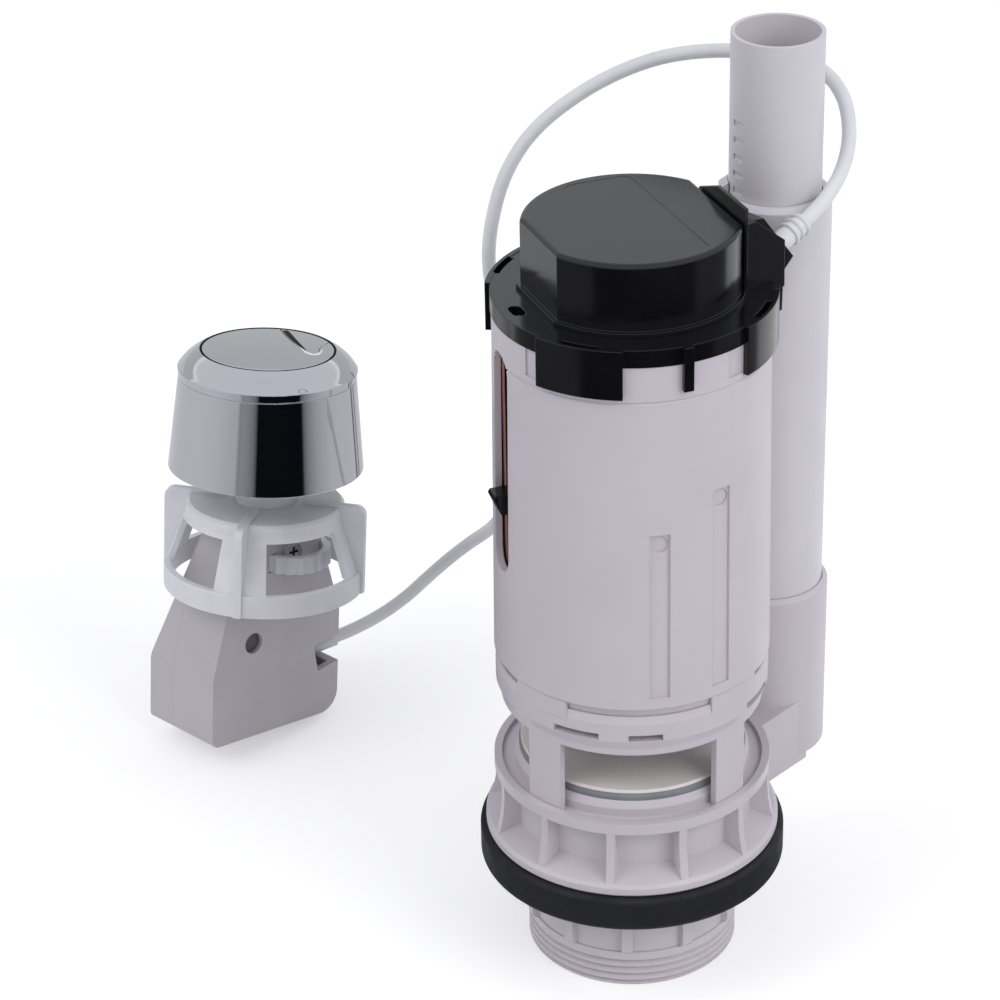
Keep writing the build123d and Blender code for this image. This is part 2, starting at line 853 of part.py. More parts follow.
with BuildPart() as lever_pin:
    cross_bar(lever_pivot, pin_radius, -ear_outer, ear_outer)
save(lever_pin, "lever_pin")

# Cable inlet: hooked block behind the cap flat, with the upstand plate beside it
cable_start = Vector(cable_route[0])
inlet_axis = (Vector(cable_route[1]) - cable_start).normalized()
cap_flat_angle = cap_flats[0][0]
inlet_outline = [
    (18.0, cap_bottom),
    (18.0, cap_top - 0.5),
    (22.0, cap_top - 0.5),
    (25.8, cap_top - 1.2),
    (37.6, 209.5),
    (33.9, 206.4),
    (33.6, 195.0),
    (26.0, 195.0),
    (26.0, cap_bottom),
]
inlet_pad_outline = [
    (18.0, cap_bottom),
    (18.0, cap_top - 0.5),
    (21.7, cap_top - 0.5),
    (33.1, 216.0),
    (33.3, 202.5),
    (26.0, 202.5),
    (26.0, cap_bottom),
]
with BuildPart() as cable_inlet:
    with BuildSketch(Plane.YZ.offset(inlet_left)):
        with BuildLine():
            Polyline(inlet_outline, close=True)
        make_face()
    extrude(amount=inlet_right - inlet_pad - inlet_left)
    with BuildSketch(Plane.YZ.offset(inlet_right - inlet_pad)):
        with BuildLine():
            Polyline(inlet_pad_outline, close=True)
        make_face()
    extrude(amount=inlet_pad)
    with BuildSketch(facing_plane(cap_flat_angle, inlet_plate_distance, cap_bottom)):
        with Locations((-1.5, 0)):
            Rectangle(inlet_plate_length, inlet_plate_height, align=(Align.CENTER, Align.MIN))
    extrude(amount=inlet_plate_thickness)
    band(0, lock_radius + lock_tab_clearance, lock_tab_bottom, cap_bottom, mode=Mode.SUBTRACT)
    with BuildSketch(facing_plane(cap_flat_angle, inlet_cap_gap, cap_bottom - 1)):
        Rectangle(2 * cap_radius, 3 * cap_height)
    extrude(amount=-inlet_left, mode=Mode.SUBTRACT)
    rod_along(cable_start, -inlet_axis, ferrule_length + 1, ferrule_radius + ferrule_fit,
              mode=Mode.SUBTRACT)
save(cable_inlet, "cable_inlet")

with BuildPart() as inlet_ferrule:
    rod_along(cable_start, -inlet_axis, ferrule_length, ferrule_radius)
save(inlet_ferrule, "inlet_ferrule")

# Overflow: fixed sleeve with its pawl, and the sliding tube with the notched rack
pawl_side = Vector(1, 0, 0).rotate(Axis.Z, pawl_angle)
pawl_plane = Plane(origin=(0, overflow_distance, 0), x_dir=pawl_side,
                   z_dir=pawl_side.cross(Vector(0, 0, 1)))
with BuildPart() as overflow_sleeve:
    column(overflow_centre, sleeve_radius, sleeve_seat_height, sleeve_top)
    sleeve_rim = overflow_sleeve.edges().group_by(Axis.Z)[-1]
    chamfer(sleeve_rim, sleeve_chamfer)
    with BuildSketch(pawl_plane):
        with BuildLine():
            Polyline(
                (tube_radius, sleeve_top - pawl_depth),
                (pawl_reach, sleeve_top - pawl_depth),
                (pawl_reach, sleeve_top + pawl_edge_rise),
                (tube_radius, sleeve_top + pawl_rise),
                close=True,
            )
        make_face()
    extrude(amount=pawl_width / 2, both=True)
    column(overflow_centre, tube_radius + tube_clearance, sleeve_seat_height, sleeve_top + pawl_rise + 1,
           mode=Mode.SUBTRACT)
save(overflow_sleeve, "overflow_sleeve")

rack_notches = int((rack_top - tube_bottom - 10) / rack_pitch)
with BuildPart() as overflow_tube:
    column(overflow_centre, tube_radius, tube_bottom, tube_top)
    column(overflow_centre, tube_radius - tube_wall, tube_bottom, tube_top, mode=Mode.SUBTRACT)
    rack_side = Vector(1, 0, 0).rotate(Axis.Z, rack_angle)
    rack_base = Vector(0, overflow_distance, rack_top) + rack_side * tube_radius
    with BuildSketch(Plane(origin=rack_base, x_dir=Vector(0, 0, 1).cross(rack_side), z_dir=rack_side)):
        with Locations(*[(0, -number * rack_pitch) for number in range(rack_notches)]):
            Rectangle(rack_width, rack_notch_height)
    extrude(amount=-rack_notch_depth, both=True, mode=Mode.SUBTRACT)
save(overflow_tube, "overflow_tube")


def bend_radii(points):
    """Largest arc at each inner point of a route that its two runs leave room for."""
    corners = [Vector(point) for point in points]
    runs = [after - before for before, after in zip(corners, corners[1:])]
    radii = []
    for before, after in zip(runs, runs[1:]):
        half_turn = radians(before.get_angle(after)) / 2
        radii.append(0.45 * min(before.length, after.length) / tan(half_turn))
    return radii


# Cable sheath from ferrule to ferrule
cable_bends = bend_radii(cable_route)
with BuildPart() as cable_sheath:
    with BuildLine() as cable_path:
        FilletPolyline(*cable_route, radius=cable_bends)
    with BuildSketch(Plane(origin=cable_start, z_dir=inlet_axis)):
        Circle(cable_radius)
    sweep(path=cable_path.wires()[0])
save(cable_sheath, "cable_sheath")
cable_length = cable_path.wires()[0].length
print("bend radii", [round(radius, 1) for radius in cable_bends])
print("cable length", round(cable_length, 1))
print("tube volume over section times length",
      round(cable_sheath.part.volume / (pi * cable_radius ** 2 * cable_length), 4))

# Chrome collar: a tapered tower with a web and a hub for the neck
chrome_slope = (chrome_bottom_radius - chrome_top_radius) / (chrome_top - chrome_bottom)
web_radius = chrome_bottom_radius - chrome_slope * (chrome_web_bottom - chrome_bottom)
web_top = chrome_web_bottom + chrome_web_thickness
neck_top = web_top + neck_stand
hub_radius = neck_radius + neck_fit
bezel_inner_radius = button_radius + button_clearance
bezel_skirt_radius = bezel_inner_radius + bezel_wall
with BuildPart() as chrome_collar:
    turned([
        (chrome_bottom_radius - chrome_wall, chrome_bottom),
        (chrome_bottom_radius, chrome_bottom),
        (chrome_top_radius, chrome_top),
        (bezel_skirt_radius + bezel_gap, chrome_top),
        (bezel_skirt_radius + bezel_gap, chrome_top - chrome_wall),
        (chrome_top_radius - chrome_wall, chrome_top - chrome_wall),
    ])
    band(hub_radius, web_radius - chrome_wall / 2, chrome_web_bottom, web_top)
    band(hub_radius, hub_radius + chrome_hub_wall, chrome_hub_bottom, neck_top)
save(chrome_collar, "chrome_collar", unit_place)

with BuildPart() as chrome_bezel:
    with BuildSketch(Plane.XZ) as bezel_outline:
        with BuildLine():
            Polyline(
                (bezel_inner_radius + 0.4, button_edge_height),
                (bezel_inner_radius, button_edge_height - 0.4),
                (bezel_inner_radius, bezel_bottom),
                (bezel_skirt_radius, bezel_bottom),
                (bezel_skirt_radius, chrome_top + bezel_gap),
                (chrome_top_radius, chrome_top + bezel_gap),
                (bezel_radius, bezel_shoulder - 0.5),
                (bezel_radius - 0.4, bezel_shoulder),
            )
            ThreePointArc(
                (bezel_radius - 0.4, bezel_shoulder),
                ((bezel_radius + bezel_inner_radius) / 2 + 0.4, (bezel_shoulder + button_edge_height) / 2 + 0.5),
                (bezel_inner_radius + 0.4, button_edge_height),
            )
        make_face()
    revolve(axis=Axis.Z)
save(chrome_bezel, "chrome_bezel", unit_place)


def leaf_outline(grow):
    """Plan of the half flush button: a leaf between the split line and the rim."""
    with BuildSketch(Plane.XY.offset(button_bottom)) as leaf:
        with BuildLine():
            ThreePointArc((-12.6, 15.8), (-1.9, 10.3), (11.0, 6.5))
            ThreePointArc((11.0, 6.5), (13.1, 7.4), (12.5, 9.4))
            ThreePointArc((12.5, 9.4), (8.6, 13.9), (6.2, 19.3))
            Polyline((6.2, 19.3), (7.0, 26.0), (-17.0, 26.0), (-12.6, 15.8))
        make_face()
        if grow:
            offset(amount=grow)
    return leaf.sketch


def button_blank():
    """Round button with a slightly domed top."""
    with BuildSketch(Plane.XZ) as outline:
        with BuildLine():
            Polyline(
                (0, button_edge_height + button_crown),
                (0, button_bottom),
                (button_radius, button_bottom),
                (button_radius, button_edge_height),
            )
            ThreePointArc(
                (button_radius, button_edge_height),
                (button_radius / 2, button_edge_height + 0.75 * button_crown),
                (0, button_edge_height + button_crown),
            )
        make_face()
    revolve(outline.sketch, axis=Axis.Z)


with BuildPart() as full_flush_button:
    button_blank()
    extrude(leaf_outline(button_clearance), amount=12, mode=Mode.SUBTRACT)
save(full_flush_button, "full_flush_button", unit_place)

with BuildPart() as half_flush_button:
    button_blank()
    extrude(leaf_outline(0), amount=12, mode=Mode.INTERSECT)
save(half_flush_button, "half_flush_button", unit_place)


def push_rod(centre, tip_height, top):
    """Round rod with a tapered tip."""
    column(centre, rod_radius, tip_height + 1, top)
    with BuildSketch(Plane.XY.offset(tip_height)) as tip:
        with Locations(centre):
            Circle(rod_tip_radius)
    with BuildSketch(Plane.XY.offset(tip_height + 1)) as shoulder:
        with Locations(centre):
            Circle(rod_radius)
    loft(sections=[tip.sketch, shoulder.sketch])


rocker_top = rocker_pivot[1] + rocker_thickness / 2
full_rod_tip = rocker_top + rocker_play
half_rod_tip = full_rod_tip + half_travel + rocker_play
with BuildPart() as full_push_rod:
    push_rod(full_rod, full_rod_tip, button_bottom)
save(full_push_rod, "full_push_rod", unit_place)

half_bridge_top = half_bridge_bottom + half_bridge_thickness
with BuildPart() as half_push_rod:
    push_rod(half_rod, half_rod_tip, half_bridge_top)
    column(half_stem, rod_radius, half_bridge_bottom, button_bottom)
    with BuildSketch(Plane.XY.offset(half_bridge_bottom)):
        with Locations(half_rod):
            Circle(rod_radius)
        with Locations(half_stem):
            Circle(rod_radius)
        make_hull()
    extrude(amount=half_bridge_thickness)
save(half_push_rod, "half_push_rod", unit_place)

# Neck through the lid
with BuildPart() as threaded_neck:
    band(neck_radius - neck_wall, neck_radius, housing_top, neck_top)
save(threaded_neck, "threaded_neck", unit_place)

# Cage nut: disc, four windows, lower ring and fins
with BuildPart() as cage_nut:
    turned([
        (neck_radius + nut_bore_clearance, nut_disc_bottom),
        (nut_disc_radius - nut_wall, nut_disc_bottom),
        (nut_skirt_radius - nut_wall, nut_ring_height),
        (nut_ring_radius - nut_wall, nut_ring_height),
        (nut_ring_radius - nut_wall, 0),
        (nut_ring_radius, 0),
        (nut_ring_radius, nut_ring_height),
        (nut_skirt_radius, nut_ring_height),
        (nut_disc_radius, nut_disc_bottom),
        (nut_disc_radius, nut_disc_top - 1),
        (nut_disc_radius - 1, nut_disc_top),
        (neck_radius + nut_bore_clearance, nut_disc_top),
    ])
    window_step = 360 / nut_windows
    for number in range(nut_windows):
        window_start = nut_post_angle + (number + 0.5) * window_step - nut_window_sweep / 2
        band(nut_disc_radius - 2 * nut_wall, nut_ring_radius + 1, nut_ring_height, nut_window_top,
             window_start, nut_window_sweep, mode=Mode.SUBTRACT)
    for number in range(nut_windows):
        with BuildSketch(radial_plane(nut_post_angle + number * window_step)):
            with BuildLine():
                Polyline(
                    (nut_fin_radius, nut_fin_height - nut_fin_round),
                    (nut_fin_radius, 0),
                    (nut_ring_radius - nut_wall / 2, 0),
                    (nut_ring_radius - nut_wall / 2, nut_ring_height),
                    (nut_skirt_radius - nut_wall / 2, nut_ring_height),
                    (nut_disc_radius - nut_wall / 2, nut_disc_bottom),
                    (nut_disc_radius - nut_wall / 2, nut_disc_top - 0.5),
                    (nut_fin_start, nut_disc_top - 0.5),
                    (nut_fin_start, nut_fin_height),
                    (nut_fin_radius - nut_fin_round, nut_fin_height),
                )
                RadiusArc(
                    (nut_fin_radius - nut_fin_round, nut_fin_height),
                    (nut_fin_radius, nut_fin_height - nut_fin_round),
                    nut_fin_round,
                )
            make_face()
        extrude(amount=nut_fin_thickness / 2, both=True)
save(cage_nut, "cage_nut", unit_place)


def housing_form(inset):
    """Outer form of the lever housing, or its cavity when inset by the wall."""
    with BuildPart() as form:
        with BuildSketch(Plane.YZ.offset(housing_back)):
            with BuildLine():
                Polyline(
                    (housing_left_top, housing_top),
                    (housing_left, housing_left_knee),
                    (housing_left, housing_bottom),
                    (housing_right, housing_bottom),
                    (housing_right, housing_right_knee),
                    (housing_right_top, housing_top),
                    close=True,
                )
            make_face()
            low_corners = vertices().group_by(Axis.Y)[0].sort_by(Axis.X)
            fillet(low_corners[-1], housing_round_corner)
            fillet(vertices().group_by(Axis.Y)[0].sort_by(Axis.X)[0], housing_corner)
            fillet(vertices().group_by(Axis.Y)[-1], housing_corner)
            if inset:
                offset(amount=-inset)
        extrude(amount=housing_front_face - housing_back)
        with BuildSketch(Plane.XZ):
            with BuildLine():
                Polyline(
                    (housing_front_face, housing_top),
                    (housing_front_face, housing_bottom),
                    (housing_back, housing_bottom),
                    (housing_back, housing_back_knee),
                    (housing_back_top, housing_top),
                    close=True,
                )
            make_face()
            if inset:
                offset(amount=-inset)
        extrude(amount=60, both=True, mode=Mode.INTERSECT)
    return form.part


housing_outer = housing_form(0)
housing_cavity = housing_form(housing_wall)
unit_frame = Plane(unit_place)
cable_end = unit_frame.to_local_coords(Vector(cable_route[-1]))
cable_entry = (unit_frame.to_local_coords(Vector(cable_route[-2])) - cable_end).normalized()
boss_radius = wheel_radius - wheel_ring - wheel_clearance

with BuildPart() as housing_front:
    column(wheel_centre, boss_radius, wheel_boss_bottom, housing_top)
    block(
        (housing_seam, housing_front_face),
        (cable_seat_start, cable_seat_start + cable_seat_thickness),
        (notch_bottom - 4, notch_top),
    )
    add(housing_outer, mode=Mode.INTERSECT)
    add(housing_outer - housing_cavity)
    split(bisect_by=Plane.YZ.offset(housing_seam), keep=Keep.TOP)
    with BuildSketch(Plane.XY.offset(wheel_bottom - wheel_clearance)):
        with Locations(wheel_centre):
            Circle(wheel_radius + wheel_clearance)
            Circle(boss_radius, mode=Mode.SUBTRACT)
    extrude(amount=wheel_top - wheel_bottom + 2 * wheel_clearance, mode=Mode.SUBTRACT)
    for centre in (full_rod, half_rod):
        column(centre, rod_radius + rod_clearance, wheel_boss_bottom, housing_top, mode=Mode.SUBTRACT)
    cross_bar((screw_offset, screw_height), screw_shank_radius,
              housing_front_face - screw_shank_length, housing_front_face, mode=Mode.SUBTRACT)
    cross_bar(rocker_pivot, rocker_pin_radius + pin_clearance,
              housing_front_face - housing_wall, housing_front_face, mode=Mode.SUBTRACT)
    with BuildSketch(Plane.YZ.offset(housing_front_face)):
        with Locations(Location((housing_right, (notch_bottom + notch_top) / 2), notch_tilt)):
            Rectangle(2 * (housing_right - notch_inner), notch_top - notch_bottom)
    extrude(amount=-notch_depth, mode=Mode.SUBTRACT)
    rod_along(cable_end, -cable_entry, ferrule_length, ferrule_radius + ferrule_fit,
              mode=Mode.SUBTRACT)
save(housing_front, "housing_front", unit_place)

with BuildPart() as housing_rear:
    add(housing_outer - housing_cavity)
    split(bisect_by=Plane.YZ.offset(housing_seam), keep=Keep.BOTTOM)
save(housing_rear, "housing_rear", unit_place)

with BuildPart() as housing_ferrule:
    rod_along(cable_end, -cable_entry, ferrule_length - 3, ferrule_radius)
save(housing_ferrule, "housing_ferrule", unit_place)

# Rocker that the full flush rod presses, with the arm that pulls the wire
with BuildPart() as rocker_lever:
    cross_bar(rocker_pivot, rocker_pin_radius + rocker_hub_wall,
              rocker_back, housing_front_face - housing_wall - pin_clearance)
    block(
        (-rocker_half_width, rocker_half_width - 1),
        (rocker_pivot[0], rocker_tip),
        (rocker_top - rocker_thickness, rocker_top),
    )
    block(
        (-rocker_half_width, 0),
        (rocker_pivot[0] - rocker_thickness / 2, rocker_pivot[0] + rocker_thickness / 2),
        (rocker_pivot[1] - rocker_wire_arm - 2, rocker_pivot[1]),
    )
    cross_bar(rocker_pivot, rocker_pin_radius + pin_clearance,
              rocker_back, housing_front_face, mode=Mode.SUBTRACT)
save(rocker_lever, "rocker_lever", unit_place)

with BuildPart() as rocker_pin:
    cross_bar(rocker_pivot, rocker_pin_radius, rocker_back - 1, housing_front_face - rocker_pin_recess)
save(rocker_pin, "rocker_pin", unit_place)

# Adjusting wheel with a scalloped rim, and the screw beside it
with BuildPart() as adjusting_wheel:
    with BuildSketch(Plane.XY.offset(wheel_bottom)):
        with Locations(wheel_centre):
            Circle(wheel_radius)
            with PolarLocations(wheel_radius + wheel_lobe_radius - wheel_lobe_depth, wheel_lobes):
                Circle(wheel_lobe_radius, mode=Mode.SUBTRACT)
            Circle(wheel_radius - wheel_ring, mode=Mode.SUBTRACT)
    extrude(amount=wheel_top - wheel_bottom)
save(adjusting_wheel, "adjusting_wheel", unit_place)

with BuildPart() as housing_screw:
    cross_bar((screw_offset, screw_height), screw_shank_radius - 0.1,
              housing_front_face - screw_shank_length + 0.5, housing_front_face + 0.5)
    cross_bar((screw_offset, screw_height), screw_head_radius,
              housing_front_face, housing_front_face + screw_head_thickness)
save(housing_screw, "housing_screw", unit_place)
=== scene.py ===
from math import cos, radians, sin

import bpy
from mathutils import Matrix, Vector


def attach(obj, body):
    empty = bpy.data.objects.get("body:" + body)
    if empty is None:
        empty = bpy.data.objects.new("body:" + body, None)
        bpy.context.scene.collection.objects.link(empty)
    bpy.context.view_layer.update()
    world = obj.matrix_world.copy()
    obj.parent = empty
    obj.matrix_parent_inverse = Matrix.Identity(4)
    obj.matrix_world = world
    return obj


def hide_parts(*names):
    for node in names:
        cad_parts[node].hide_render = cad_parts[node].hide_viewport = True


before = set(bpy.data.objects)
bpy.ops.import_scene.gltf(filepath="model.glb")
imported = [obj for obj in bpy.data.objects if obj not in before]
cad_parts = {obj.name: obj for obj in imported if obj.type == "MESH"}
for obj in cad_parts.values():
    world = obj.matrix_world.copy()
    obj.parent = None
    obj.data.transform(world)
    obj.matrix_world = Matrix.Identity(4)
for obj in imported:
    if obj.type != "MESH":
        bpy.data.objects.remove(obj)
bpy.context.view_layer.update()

MM = 0.001
scene = bpy.context.scene


# Camera at the photograph's place: heading, tilt and roll are in degrees
CAMERA_PLACE = Vector((0.60286, -0.60286, 0.61586))
CAMERA_HEADING = 47.41
CAMERA_TILT = 60.916
CAMERA_ROLL = -1.193
SENSOR_WIDTH = 36
FOCAL_OVER_WIDTH = 3.5813


def make_camera():
    """Camera that frames the object as the photograph does."""
    camera = bpy.data.objects.new("camera", bpy.data.cameras.new("camera"))
    scene.collection.objects.link(camera)
    camera.data.sensor_width = SENSOR_WIDTH
    camera.data.lens = SENSOR_WIDTH * FOCAL_OVER_WIDTH
    camera.matrix_world = (
        Matrix.Translation(CAMERA_PLACE)
        @ Matrix.Rotation(radians(CAMERA_HEADING), 4, "Z")
        @ Matrix.Rotation(radians(CAMERA_TILT), 4, "X")
        @ Matrix.Rotation(radians(CAMERA_ROLL), 4, "Z")
    )
    scene.camera = camera


# Push-button unit: its own origin is on the neck's axis, and it leans two ways, in degrees
UNIT_POSITION = (-0.15705, -0.00502, 0.05255)
UNIT_LEAN_X = -8.2
UNIT_LEAN_Y = -3.82
UNIT_PLACE = (
    Matrix.Translation(UNIT_POSITION)
    @ Matrix.Rotation(radians(UNIT_LEAN_X), 4, "X")
    @ Matrix.Rotation(radians(UNIT_LEAN_Y), 4, "Y")
)


# Cable route, with the points of the part's source in metres
CABLE_DIAMETER = 0.004
CABLE_STEPS = 24
CABLE_ROUNDING = 6
CABLE_ORDER = 3
CABLE_ROUTE = [
    (0.019, 0.0455, 0.2155),
    (0.019, 0.066, 0.2222),
    (0.000, 0.0805, 0.246),
    (-0.034, 0.059, 0.247),
    (-0.056, 0.043, 0.236),
    (-0.071, 0.024, 0.217),
    (-0.075, 0.016, 0.187),
    (-0.080, 0.026, 0.160),
    (-0.082, 0.034, 0.130),
    (-0.091, 0.045, 0.101),
    (-0.108, 0.053, 0.071),
    (-0.134, 0.054, 0.048),
    (-0.148, 0.0355, 0.0255),
    (-0.154, 0.0198, 0.0228),
]


def make_cable():
    """Sheath of the pull cable: one smooth curve from the cap's ferrule to the housing's."""
    curve = bpy.data.curves.new("pull_cable", "CURVE")
    curve.dimensions = "3D"
    curve.resolution_u = CABLE_STEPS
    curve.bevel_depth = CABLE_DIAMETER / 2
    curve.bevel_resolution = CABLE_ROUNDING
    curve.use_fill_caps = True
    spline = curve.splines.new("NURBS")
    spline.points.add(len(CABLE_ROUTE) - 1)
    for point, place in zip(spline.points, CABLE_ROUTE):
        point.co = (*place, 1)
    spline.order_u = CABLE_ORDER
    spline.use_endpoint_u = True
    cable = bpy.data.objects.new("pull_cable", curve)
    scene.collection.objects.link(cable)
    return cable


# Colours and nodes
def srgb(code):
    """Linear colour of an sRGB hex value."""
    parts = [int(code[place:place + 2], 16) / 255 for place in (1, 3, 5)]
    linear = [part / 12.92 if part <= 0.04045 else ((part + 0.055) / 1.055) ** 2.4 for part in parts]
    return (*linear, 1)


def add_node(material, kind, settings=None, inputs=None):
    """A node with its settings; an input given as a node's output is linked."""
    tree = material.node_tree
    node = tree.nodes.new(kind)
    for name, value in (settings or {}).items():
        setattr(node, name, value)
    for name, value in (inputs or {}).items():
        if isinstance(value, bpy.types.NodeSocket):
            tree.links.new(value, node.inputs[name])
        else:
            node.inputs[name].default_value = value
    return node


def new_material(name, roughness, metallic=0.0, ior=None, subsurface=0.0, depth_mm=(2, 2, 2)):
    """Material with its shader, and the object coordinates that its patterns read.

    Light enters by the share called subsurface, and goes as deep as depth_mm says for red, green and blue.
    """
    material = bpy.data.materials.new(name)
    material.use_nodes = True
    shader = material.node_tree.nodes["Principled BSDF"]
    shader.inputs["Roughness"].default_value = roughness
    shader.inputs["Metallic"].default_value = metallic
    shader.inputs["Subsurface Weight"].default_value = subsurface
    shader.inputs["Subsurface Radius"].default_value = [depth * MM for depth in depth_mm]
    if ior:
        shader.inputs["IOR"].default_value = ior
    place = add_node(material, "ShaderNodeTexCoord").outputs["Object"]
    return material, shader, place


# Part of its range that a noise mostly keeps to
NOISE_LOW = 0.3
NOISE_HIGH = 0.7


def pattern_scale(size_mm):
    """Noise scale whose features are about the given size."""
    return 1 / (size_mm * MM)


def tint(material, shader, place, dark, light, size_mm):
    """Soft patches between two close colours, as a moulding shows."""
    patches = add_node(material, "ShaderNodeTexNoise", inputs={
        "Vector": place, "Scale": pattern_scale(size_mm), "Detail": 3.0})
    ramp = add_node(material, "ShaderNodeValToRGB", inputs={"Fac": patches.outputs["Fac"]})
    ramp.color_ramp.elements[0].position = NOISE_LOW
    ramp.color_ramp.elements[1].position = NOISE_HIGH
    ramp.color_ramp.elements[0].color = srgb(dark)
    ramp.color_ramp.elements[1].color = srgb(light)
    material.node_tree.links.new(ramp.outputs["Color"], shader.inputs["Base Color"])


def surface(material, shader, place, grain_mm, depth_mm, edge_mm):
    """Fine grain of the tool's surface, over edges rounded by a small radius."""
    rounded = add_node(material, "ShaderNodeBevel", {"samples": 6}, {"Radius": edge_mm * MM})
    grain = add_node(material, "ShaderNodeTexNoise", inputs={
        "Vector": place, "Scale": pattern_scale(grain_mm), "Detail": 4.0})
    bump = add_node(material, "ShaderNodeBump", inputs={
        "Height": grain.outputs["Fac"], "Distance": depth_mm * MM, "Strength": 1.0,
        "Normal": rounded.outputs["Normal"]})
    material.node_tree.links.new(bump.outputs["Normal"], shader.inputs["Normal"])


def gloss(material, shader, place, smooth, rough, size_mm):
    """Roughness that drifts between two values over the surface."""
    drift = add_node(material, "ShaderNodeTexNoise", inputs={
        "Vector": place, "Scale": pattern_scale(size_mm), "Detail": 2.0})
    spread = add_node(material, "ShaderNodeMapRange", inputs={
        "Value": drift.outputs["Fac"], "From Min": NOISE_LOW, "From Max": NOISE_HIGH,
        "To Min": smooth, "To Max": rough})
    material.node_tree.links.new(spread.outputs["Result"], shader.inputs["Roughness"])


# Materials
def white_polypropylene():
    """Moulded polypropylene: pale lilac grey, satin, with a faint flow of colour and soft edges."""
    material, shader, place = new_material("moulded_white_polypropylene", roughness=0.4, ior=1.49, subsurface=0.06,
                                           depth_mm=(2, 1.8, 1.8))
    tint(material, shader, place, "#cdc6ce", "#d1cad1", size_mm=22)
    gloss(material, shader, place, 0.36, 0.46, size_mm=14)
    surface(material, shader, place, grain_mm=0.9, depth_mm=0.004, edge_mm=0.35)
    return material


def tube_polypropylene():
    """Extruded polypropylene of the overflow: slightly paler than the mouldings, satin."""
    material, shader, place = new_material("extruded_pale_polypropylene", roughness=0.42, ior=1.49, subsurface=0.06,
                                           depth_mm=(2, 1.8, 1.8))
    tint(material, shader, place, "#d3d0d6", "#d8d5db", size_mm=30)
    gloss(material, shader, place, 0.36, 0.48, size_mm=18)
    surface(material, shader, place, grain_mm=1.1, depth_mm=0.003, edge_mm=0.3)
    return material


def black_abs():
    """Moulded black ABS: polished, nearly black, with crisp edges that catch the light."""
    material, shader, place = new_material("moulded_black_abs", roughness=0.3, ior=1.53)
    tint(material, shader, place, "#0e0e10", "#131315", size_mm=12)
    gloss(material, shader, place, 0.14, 0.22, size_mm=9)
    surface(material, shader, place, grain_mm=0.5, depth_mm=0.003, edge_mm=0.35)
    return material


def brown_float_plastic():
    """Brown moulded plastic of the float behind the slot, matt."""
    material, shader, place = new_material("moulded_brown_polypropylene", roughness=0.5, ior=1.49)
    tint(material, shader, place, "#8e6654", "#9c7160", size_mm=10)
    surface(material, shader, place, grain_mm=0.8, depth_mm=0.004, edge_mm=0.3)
    return material


def seal_rubber():
    """Grey moulded rubber of the flush seal: matt, with a faint bloom."""
    material, shader, place = new_material("moulded_grey_rubber", roughness=0.55, ior=1.5)
    tint(material, shader, place, "#7d8085", "#878a8f", size_mm=8)
    gloss(material, shader, place, 0.48, 0.62, size_mm=6)
    surface(material, shader, place, grain_mm=1.2, depth_mm=0.006, edge_mm=0.3)
    return material


def retainer_plastic():
    """Milky moulded disc that clamps the seal: paler than the body, with a soft shine."""
    material, shader, place = new_material("moulded_milky_polypropylene", roughness=0.34, ior=1.49, subsurface=0.2)
    tint(material, shader, place, "#f0ebe6", "#f6f2ee", size_mm=18)
    gloss(material, shader, place, 0.3, 0.42, size_mm=12)
    surface(material, shader, place, grain_mm=1.0, depth_mm=0.004, edge_mm=0.3)
    return material


def washer_rubber():
    """Black moulded rubber: dull, with a fine bloom and grain."""
    material, shader, place = new_material("moulded_black_rubber", roughness=0.7, ior=1.52)
    tint(material, shader, place, "#17171b", "#1d1d22", size_mm=6)
    gloss(material, shader, place, 0.6, 0.8, size_mm=5)
    surface(material, shader, place, grain_mm=0.35, depth_mm=0.012, edge_mm=0.5)
    return material


def sheath_nylon():
    """Extruded white sheath of the cable: smooth and slightly milky."""
    material, shader, place = new_material("extruded_white_nylon", roughness=0.32, ior=1.53, subsurface=0.25)
    tint(material, shader, place, "#dfe2e4", "#e6e9ea", size_mm=15)
    surface(material, shader, place, grain_mm=1.5, depth_mm=0.004, edge_mm=0.3)
    return material


def chrome_plate():
    """Bright chromium on plastic: a mirror finish, a little wavy as plated mouldings are."""
    material, shader, place = new_material("bright_chromium_plate", roughness=0.04, metallic=1.0)
    shader.inputs["Base Color"].default_value = srgb("#c6c6ca")
    rounded = add_node(material, "ShaderNodeBevel", {"samples": 8}, {"Radius": 0.4 * MM})
    wave = add_node(material, "ShaderNodeTexNoise", inputs={
        "Vector": place, "Scale": pattern_scale(12), "Detail": 1.0})
    bump = add_node(material, "ShaderNodeBump", inputs={
        "Height": wave.outputs["Fac"], "Distance": 0.02 * MM, "Strength": 0.6,
        "Normal": rounded.outputs["Normal"]})
    material.node_tree.links.new(bump.outputs["Normal"], shader.inputs["Normal"])
    return material


def cage_nylon():
    """Natural nylon of the cage nut: milky white, so that light passes its thin walls."""
    material, shader, place = new_material("moulded_natural_nylon", roughness=0.34, ior=1.53, subsurface=1.0,
                                           depth_mm=(10, 10, 10))
    tint(material, shader, place, "#e2e2e6", "#eaeaee", size_mm=10)
    surface(material, shader, place, grain_mm=1.0, depth_mm=0.004, edge_mm=0.35)
    return material


def housing_abs():
    """Moulded grey ABS of the lever housing: satin, with a spark-eroded grain."""
    material, shader, place = new_material("moulded_grey_abs", roughness=0.45, ior=1.53)
    tint(material, shader, place, "#bcb8be", "#c2bec4", size_mm=14)
    gloss(material, shader, place, 0.4, 0.52, size_mm=8)
    surface(material, shader, place, grain_mm=0.6, depth_mm=0.005, edge_mm=0.35)
    return material


